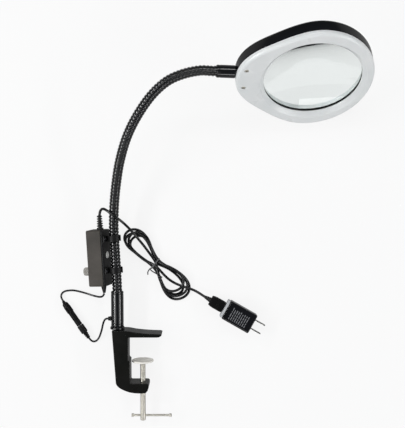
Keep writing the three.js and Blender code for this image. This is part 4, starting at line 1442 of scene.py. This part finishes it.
# ---- dimmer box ----------------------------------------------------------------------------------
@dataclass
class DimmerBox:
    """The control box on the neck: textured case, satin lid, knob, clips, reliefs and a round sticker."""

    middle: float = -23.3
    depth: float = 23.0
    length: float = 74.4
    width: float = 26.0
    wall: float = 2.0
    lid: float = 2.2
    knob_y: float = -18.3
    knob_radius: float = 5.6
    knob_length: float = 11.0
    relief_x: float = -19.3
    clips: tuple = ((-17.0, "lower"), (25.2, "upper"))
    clip_length: float = 8.0

    def build(self) -> None:
        """Make every piece of the box."""
        self.shells()
        self.knob()
        for y, which in self.clips:
            self.clip(y, which)
        self.reliefs()

    def shells(self) -> None:
        """Make the case and its lid, and finish the board and the control inside."""
        left, right = self.middle - self.depth / 2, self.middle + self.depth / 2
        seam = right - self.lid
        turn = Matrix.Rotation(math.pi / 2, 4, "Y")           # takes the outline's Z to X
        place = DIMMER_BOX @ turn
        outer = rounded_outline(self.width / 2, self.length / 2, 2.4)
        inner = rounded_outline(self.width / 2 - self.wall, self.length / 2 - self.wall, 1.0)
        # the case's warm grey is a painted reflection on its face
        case = slab("dimmer_case_shell", outer, left, seam - GAP, place, TEXTURED_ABS_PAINTED_REFLECTION, 0.9, 4)
        hollow = slab("hole", inner, left + self.wall, seam + 5, place, TEXTURED_ABS_PAINTED_REFLECTION)
        shaft = turned("hole", [(0, left - 5), (3.9, left - 5), (3.9, left + 5), (0, left + 5)],
                       placed(DIMMER_BOX, (0, self.knob_y, 0)) @ ALONG_X, TEXTURED_ABS_PAINTED_REFLECTION, 28)
        cords = turned("hole", [(0, -60), (1.9, -60), (1.9, 60), (0, 60)],
                       placed(DIMMER_BOX, (self.relief_x, 0, 0)), TEXTURED_ABS_PAINTED_REFLECTION, 20)
        combined(case, Cut.AWAY, hollow, shaft, cords)
        settle(case, "stand", "dimmer_plastic", "dimmer_case")
        lid = slab("dimmer_lid_plate", outer, seam, right, place, SATIN_ABS, 0.8, 3)
        settle(lid, "stand", "black_gloss", "dimmer_lid")
        for node, finish in (("dimmer_board", GREEN_RESIST), ("potentiometer", ZINC_PLATE)):
            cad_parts[node].data.materials.clear()
            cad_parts[node].data.materials.append(finish.material())
        label = turned("round_sticker", [(0, right + GAP), (4.4, right + GAP), (4.6, right + 0.4), (4.55,
            right + 0.6),
                                         (4.3, right + 0.7), (0, right + 0.7)],
                       placed(DIMMER_BOX, (0, 3.5, 0)) @ ALONG_X, COATED_PAPER, 48)
        settle(label, "stand", "white_label", "round_label")

    def knob(self) -> None:
        """Make the ribbed knob with its pointer line."""
        face = self.middle - self.depth / 2
        r, length = self.knob_radius, self.knob_length
        profile = [(0, 0), (r - 2.2, 0), (r - 1.0, 0.15), (r - 0.35, 0.7), (r - 0.1, 1.4), (r, 2.2),
                   (r, length - 2.4), (r, length - 2.2), (r + 0.3, length - 1.8), (r + 0.3, length - 0.9),
                   (r, length - 0.6), (3.3, length - 0.6), (3.3, 2.4), (0, 2.4)]
        place = placed(DIMMER_BOX, (face - length, self.knob_y, 0)) @ ALONG_X
        knob = turned("dimmer_knob_cap", profile, place, KNOB_ABS, 144, 24, 0.5, range(4, 7), crease=30)
        line = block("hole", (0.9, -1, -0.35), (r + 1, 0.45, 0.35), place, KNOB_ABS)
        settle(combined(knob, Cut.AWAY, line, crease=30), "knob", "knob_plastic", "dimmer_knob")

    def clip(self, y: float, which: str) -> None:
        """Make one spring clip round the neck with its foot and screw.

        Args:
            y: the clip's middle along the neck.
            which: the word in its nodes' names.
        """
        face = self.middle + self.depth / 2 + GAP
        half = self.clip_length / 2
        outer, inner, opening = 8.8, 7.0, math.radians(31)
        steps = 40
        line = []
        for radius, order in ((outer, range(steps + 1)), (inner, range(steps, -1, -1))):
            for i in order:
                angle = opening + (2 * math.pi - 2 * opening) * i / steps
                line.append((radius * math.cos(angle), radius * math.sin(angle)))
        flat = Matrix.Rotation(-math.pi / 2, 4, "X")          # takes the outline's Z to Y
        ring = slab(f"neck_clip_{which}_band", line, y - half, y + half, DIMMER_BOX @ flat @ Matrix.Scale(1,
                                                                                                          4),
                    SATIN_ABS, 0.4, 2)
        plate = block("plate", (face, y - half, -6), (face + 2, y + half, 11.5), DIMMER_BOX, SATIN_ABS, 0.4,
                      2)
        web = block("web", (face + 0.5, y - half + 0.3, -4.5), (-7.4, y + half - 0.3, 4.5), DIMMER_BOX,
                    SATIN_ABS)
        combined(ring, Cut.JOIN, plate, web)
        hole = turned("hole", [(0, face - 1), (1.4, face - 1), (1.4, face + 4), (0, face + 4)],
                      placed(DIMMER_BOX, (0, y, 8.6)) @ ALONG_X, SATIN_ABS, 20)
        settle(combined(ring, Cut.AWAY, hole), "stand", "black_matte", f"neck_clip_{which}")
        screw = cross_screw(f"clip_screw_{which}_head", placed(DIMMER_BOX, (face + 2.2, y, 8.6)) @ ALONG_X,
                            2.4, 1.3,
                            1.1, 2.0, BLACK_ZINC)
        settle(screw, "stand", "zinc_steel", f"clip_screw_{which}")

    def reliefs(self) -> None:
        """Make the ribbed relief of the lead and the tapered one of the short cord."""
        half = self.length / 2
        top = [(0, 0.4), (4.2, 0.4), (4.4, 0.8), (4.4, 2.0), (4.0, 2.6)]
        for i in range(5):
            y = 3.0 + i * 3.1
            r = 4.1 - i * 0.16
            top += [(r - 1.5, y), (r - 1.5, y + 0.9), (r - 0.2, y + 1.2), (r, y + 1.5), (r, y + 2.4),
                    (r - 0.3, y + 2.8)]
        top += [(2.5, 18.6), (2.3, 18.9), (2.0, 19), (0, 19)]
        settle(turned("lead_relief_ribbed", top, placed(DIMMER_BOX, (self.relief_x, half, 0)),
                      MOULDED_RUBBER, 40),
               "stand", "black_rubber", "main_cord_relief")
        low = [(0, -10), (1.5, -10), (1.8, -9.7), (2.6, -6), (3.4, -2), (3.6, -0.9), (3.3, -0.4), (0, -0.4)]
        settle(turned("link_relief_tapered", low, placed(DIMMER_BOX, (self.relief_x, -half, 0)),
                      MOULDED_RUBBER, 32),
               "stand", "black_rubber", "link_cord_relief")


# ---- plugs ---------------------------------------------------------------------------------------
@dataclass
class InlineConnector:
    """A round plug and its socket between the two short cords."""

    plug_end: Point = (-187.5, -116.9, 4.8)
    socket_end: Point = (-152.5, -166.7, 4.8)
    radius: float = 4.5
    plug_length: float = 40.0

    def build(self) -> list[bpy.types.Object]:
        """Make both halves and return them.

        Returns:
            The pieces of both halves.
        """
        start, end = Vector(self.plug_end), Vector(self.socket_end)
        along = end - start
        total = along.length
        angle = math.degrees(math.atan2(along.y, along.x)) - 90
        place = placed(LAY, self.plug_end, (0, 0, angle))
        r, split = self.radius, self.plug_length
        plug = [(0, 0), (1.5, 0), (1.9, 0.4), (2.3, 3.2), (3.2, 3.8), (r - 0.7, 4.4), (r - 0.5, 6),
                (r - 0.2, 9), (r, 9.5),
                (r, 9.9), (r, 17.6), (r - 0.1, 18), (r - 0.6, 18.7), (r - 0.6, 30), (r - 0.9, 30.3),
                (r - 0.9, 31),
                (r - 0.6, 31.3), (r - 0.6, split - 1.2), (r - 0.9, split - GAP), (0, split - GAP)]
        front = turned("inline_plug_body", plug, place, SATIN_ABS, 120, 20, 0.45, range(9, 11), crease=30)
        socket = [(0, split), (r - 0.3, split), (r, split + 0.4), (r, split + 10.4), (r - 0.6, split + 11.6)]
        y = split + 12.2
        while y < total - 2.6:
            taper = (y - split - 12) / (total - split - 12)
            wide = 3.3 - 1.1 * taper
            socket += [(wide - 0.6, y), (wide - 0.6, y + 0.7), (wide, y + 1.0), (wide, y + 2.1)]
            y += 2.6
        socket += [(1.9, total - 0.6), (1.6, total), (0, total)]
        back = turned("inline_socket_body", socket, place, SATIN_ABS, 48)
        settle(front, "stand", "black_matte", "inline_plug")
        settle(back, "stand", "black_matte", "inline_jack")
        return [front, back]


@dataclass
class Adapter:
    """The mains adapter with two blades, and the USB plug in its socket end."""

    length: float = 40.0
    width: float = 27.0
    height: float = 24.0
    plate: float = 3.4
    blade: Point = (15.5, 1.6, 6.3)
    spacing: float = 12.7
    shell: Point = (12.0, 12.0, 4.5)
    grip: Point = (20.0, 15.5, 8.4)

    def build(self) -> list[bpy.types.Object]:
        """Make the adapter and the USB plug, and return the plug's pieces.

        Returns:
            The plug's shell, grip and relief.
        """
        x = self.length / 2
        across = Matrix.Rotation(math.pi / 2, 4, "Y")          # takes the outline's Z to X
        place = ADAPTER @ across
        slot = [block("slot", (-x - 8, -6.4, -2.65), (-x + 10, 6.4, 2.65), ADAPTER,
                      GLOSS_ABS) for _ in range(2)]
        body = slab("adapter_body", rounded_outline(self.height / 2, self.width / 2, 3.2, 8), -x, x, place,
                    GLOSS_ABS,
                    1.4, 4)
        groove = slab("groove", rounded_outline(self.height / 2 + 2, self.width / 2 + 2, 3.2), x - 6.4,
                      x - 5.9, place,
                      GLOSS_ABS)
        core = slab("core", rounded_outline(self.height / 2 - 0.4, self.width / 2 - 0.4, 3.0), x - 7, x - 5,
                    place,
                    GLOSS_ABS)
        combined(groove, Cut.AWAY, core)
        combined(body, Cut.AWAY, slot[0], groove)
        settle(body, "adapter", "black_gloss", "adapter_case")
        start = -x - self.plate
        plate = slab("adapter_socket_end", rounded_outline(self.height / 2 - 0.8, self.width / 2 - 0.8, 3.0,
                                                           8), start,
                     -x - GAP, place, TRIM_ABS, 0.8, 3)
        settle(combined(plate, Cut.AWAY, slot[1]), "adapter", "adapter_trim", "adapter_end_plate")
        for name, side in (("left", 1), ("right", -1)):
            y = side * self.spacing / 2
            length, thick, tall = self.blade
            blade = block(f"blade_{name}", (x + GAP, y - thick / 2, -tall / 2),
                          (x + GAP + length, y + thick / 2, tall / 2), ADAPTER, NICKEL_PLATE, 0.45, 2)
            hole = turned("hole", [(0, -4), (1.5, -4), (1.5, 4), (0, 4)],
                          placed(ADAPTER, (x + GAP + length - 3.6, y, 0)), NICKEL_PLATE, 20)
            settle(combined(blade, Cut.AWAY, hole), "adapter", "blade_nickel", f"adapter_blade_{name}")
        self.rating_print()
        return self.usb_plug(start - 0.8, place)

    def rating_print(self) -> None:
        """Print rows of plain pale dashes on the top face, where a real one carries its ratings."""
        ink, row_pitch, face = 0.04, 2.9, self.height / 2
        rows = ((2.6, 5.4, 1.6, 4.2), (4.4, 2.2, 6.2), (1.4, 3.4, 2.8, 5.0), (6.0, 3.0, 4.6), (3.2, 1.8,
                                                                                               5.6, 2.6),
                (5.2, 4.8, 2.4), (2.0, 3.8, 3.6, 3.4), (4.6, 6.4, 2.2), (3.0, 2.4, 4.4, 3.0))
        points, faces = [], []
        for i, lengths in enumerate(rows):
            x = -12.6 + i * row_pitch
            y = -9.2
            for length in lengths:
                first = len(points)
                points += [(x + a, y + b * length, face + c) for c in (-ink, ink) for a, b in
                           ((0, 0), (1.1, 0), (1.1, 1), (0, 1))]
                faces += [[first + k for k in side] for side in
                          ((3, 2, 1, 0), (4, 5, 6, 7), (0, 1, 5, 4), (1, 2, 6, 5), (2, 3, 7, 6), (3, 0, 4,
                                                                                                  7))]
                y += length + 1.0
        settle(raised("rating_print", points, faces, ADAPTER, PALE_INK), "adapter", "white_label")

    def usb_plug(self, face: float, place: Matrix) -> list[bpy.types.Object]:
        """Make the USB plug's shell, grip and relief.

        Args:
            face: where the grip ends along X.
            place: the frame whose Z lies along the plug.

        Returns:
            The plug's pieces.
        """
        length, wide, high = self.shell
        shell = block("usb_shell", (face + GAP, -wide / 2, -high / 2), (face + GAP + length, wide / 2,
                                                                        high / 2),
                      ADAPTER, NICKEL_PLATE, 0.4, 2)
        settle(shell, "stand", "zinc_steel", "usb_plug_shell")
        deep, wide, high = self.grip
        rings = []
        for t, share in ((0, 0.9), (0.03, 0.97), (0.08, 1.0), (0.66, 1.0), (0.84, 0.95), (0.96, 0.88), (1.0,
                                                                                                        0.8)):
            outline = rounded_outline(high / 2 * (0.4 + 0.6 * share), wide / 2 * share, 2.0 * share, 6)
            rings.append([(px, py, face - deep * t) for px, py in outline])
        grip = lofted("usb_grip", rings, place, SATIN_ABS)
        ribs = [block("rib", (face - 7 - 2.2 * i, -5, high / 2 - 0.35), (face - 6 - 2.2 * i, 5,
                                                                         high / 2 + 1), ADAPTER,
                      SATIN_ABS) for i in range(3)]
        combined(grip, Cut.AWAY, *ribs)
        settle(grip, "stand", "black_matte", "usb_plug_grip")
        end = face - deep - GAP
        relief = [(0, end - 8.4), (1.9, end - 8.4)]
        for i in range(3):
            y = end - 8 + i * 2.6
            r = 2.4 + i * 0.45
            relief += [(r - 0.5, y), (r - 0.4, y + 0.6), (r, y + 0.9), (r, y + 2.2)]
        relief += [(3.4, end), (0, end)]
        taper = turned("usb_relief", relief, ADAPTER @ ALONG_X, MOULDED_RUBBER, 32)
        settle(taper, "stand", "black_rubber", "usb_plug_relief")
        return [shell, grip, taper]


def main() -> None:
    """Build the stage and then each sub-assembly, the cords first."""
    logging.basicConfig(level=logging.INFO, format="%(message)s")
    Stage().build()
    cords = Cords()
    cords.build()
    BundleTie().build()
    Clamp().build()
    Gooseneck().build()
    Head().build()
    DimmerBox().build()
    halves = InlineConnector().build()
    plug = Adapter().build()


if __name__ == "__main__":
    main()
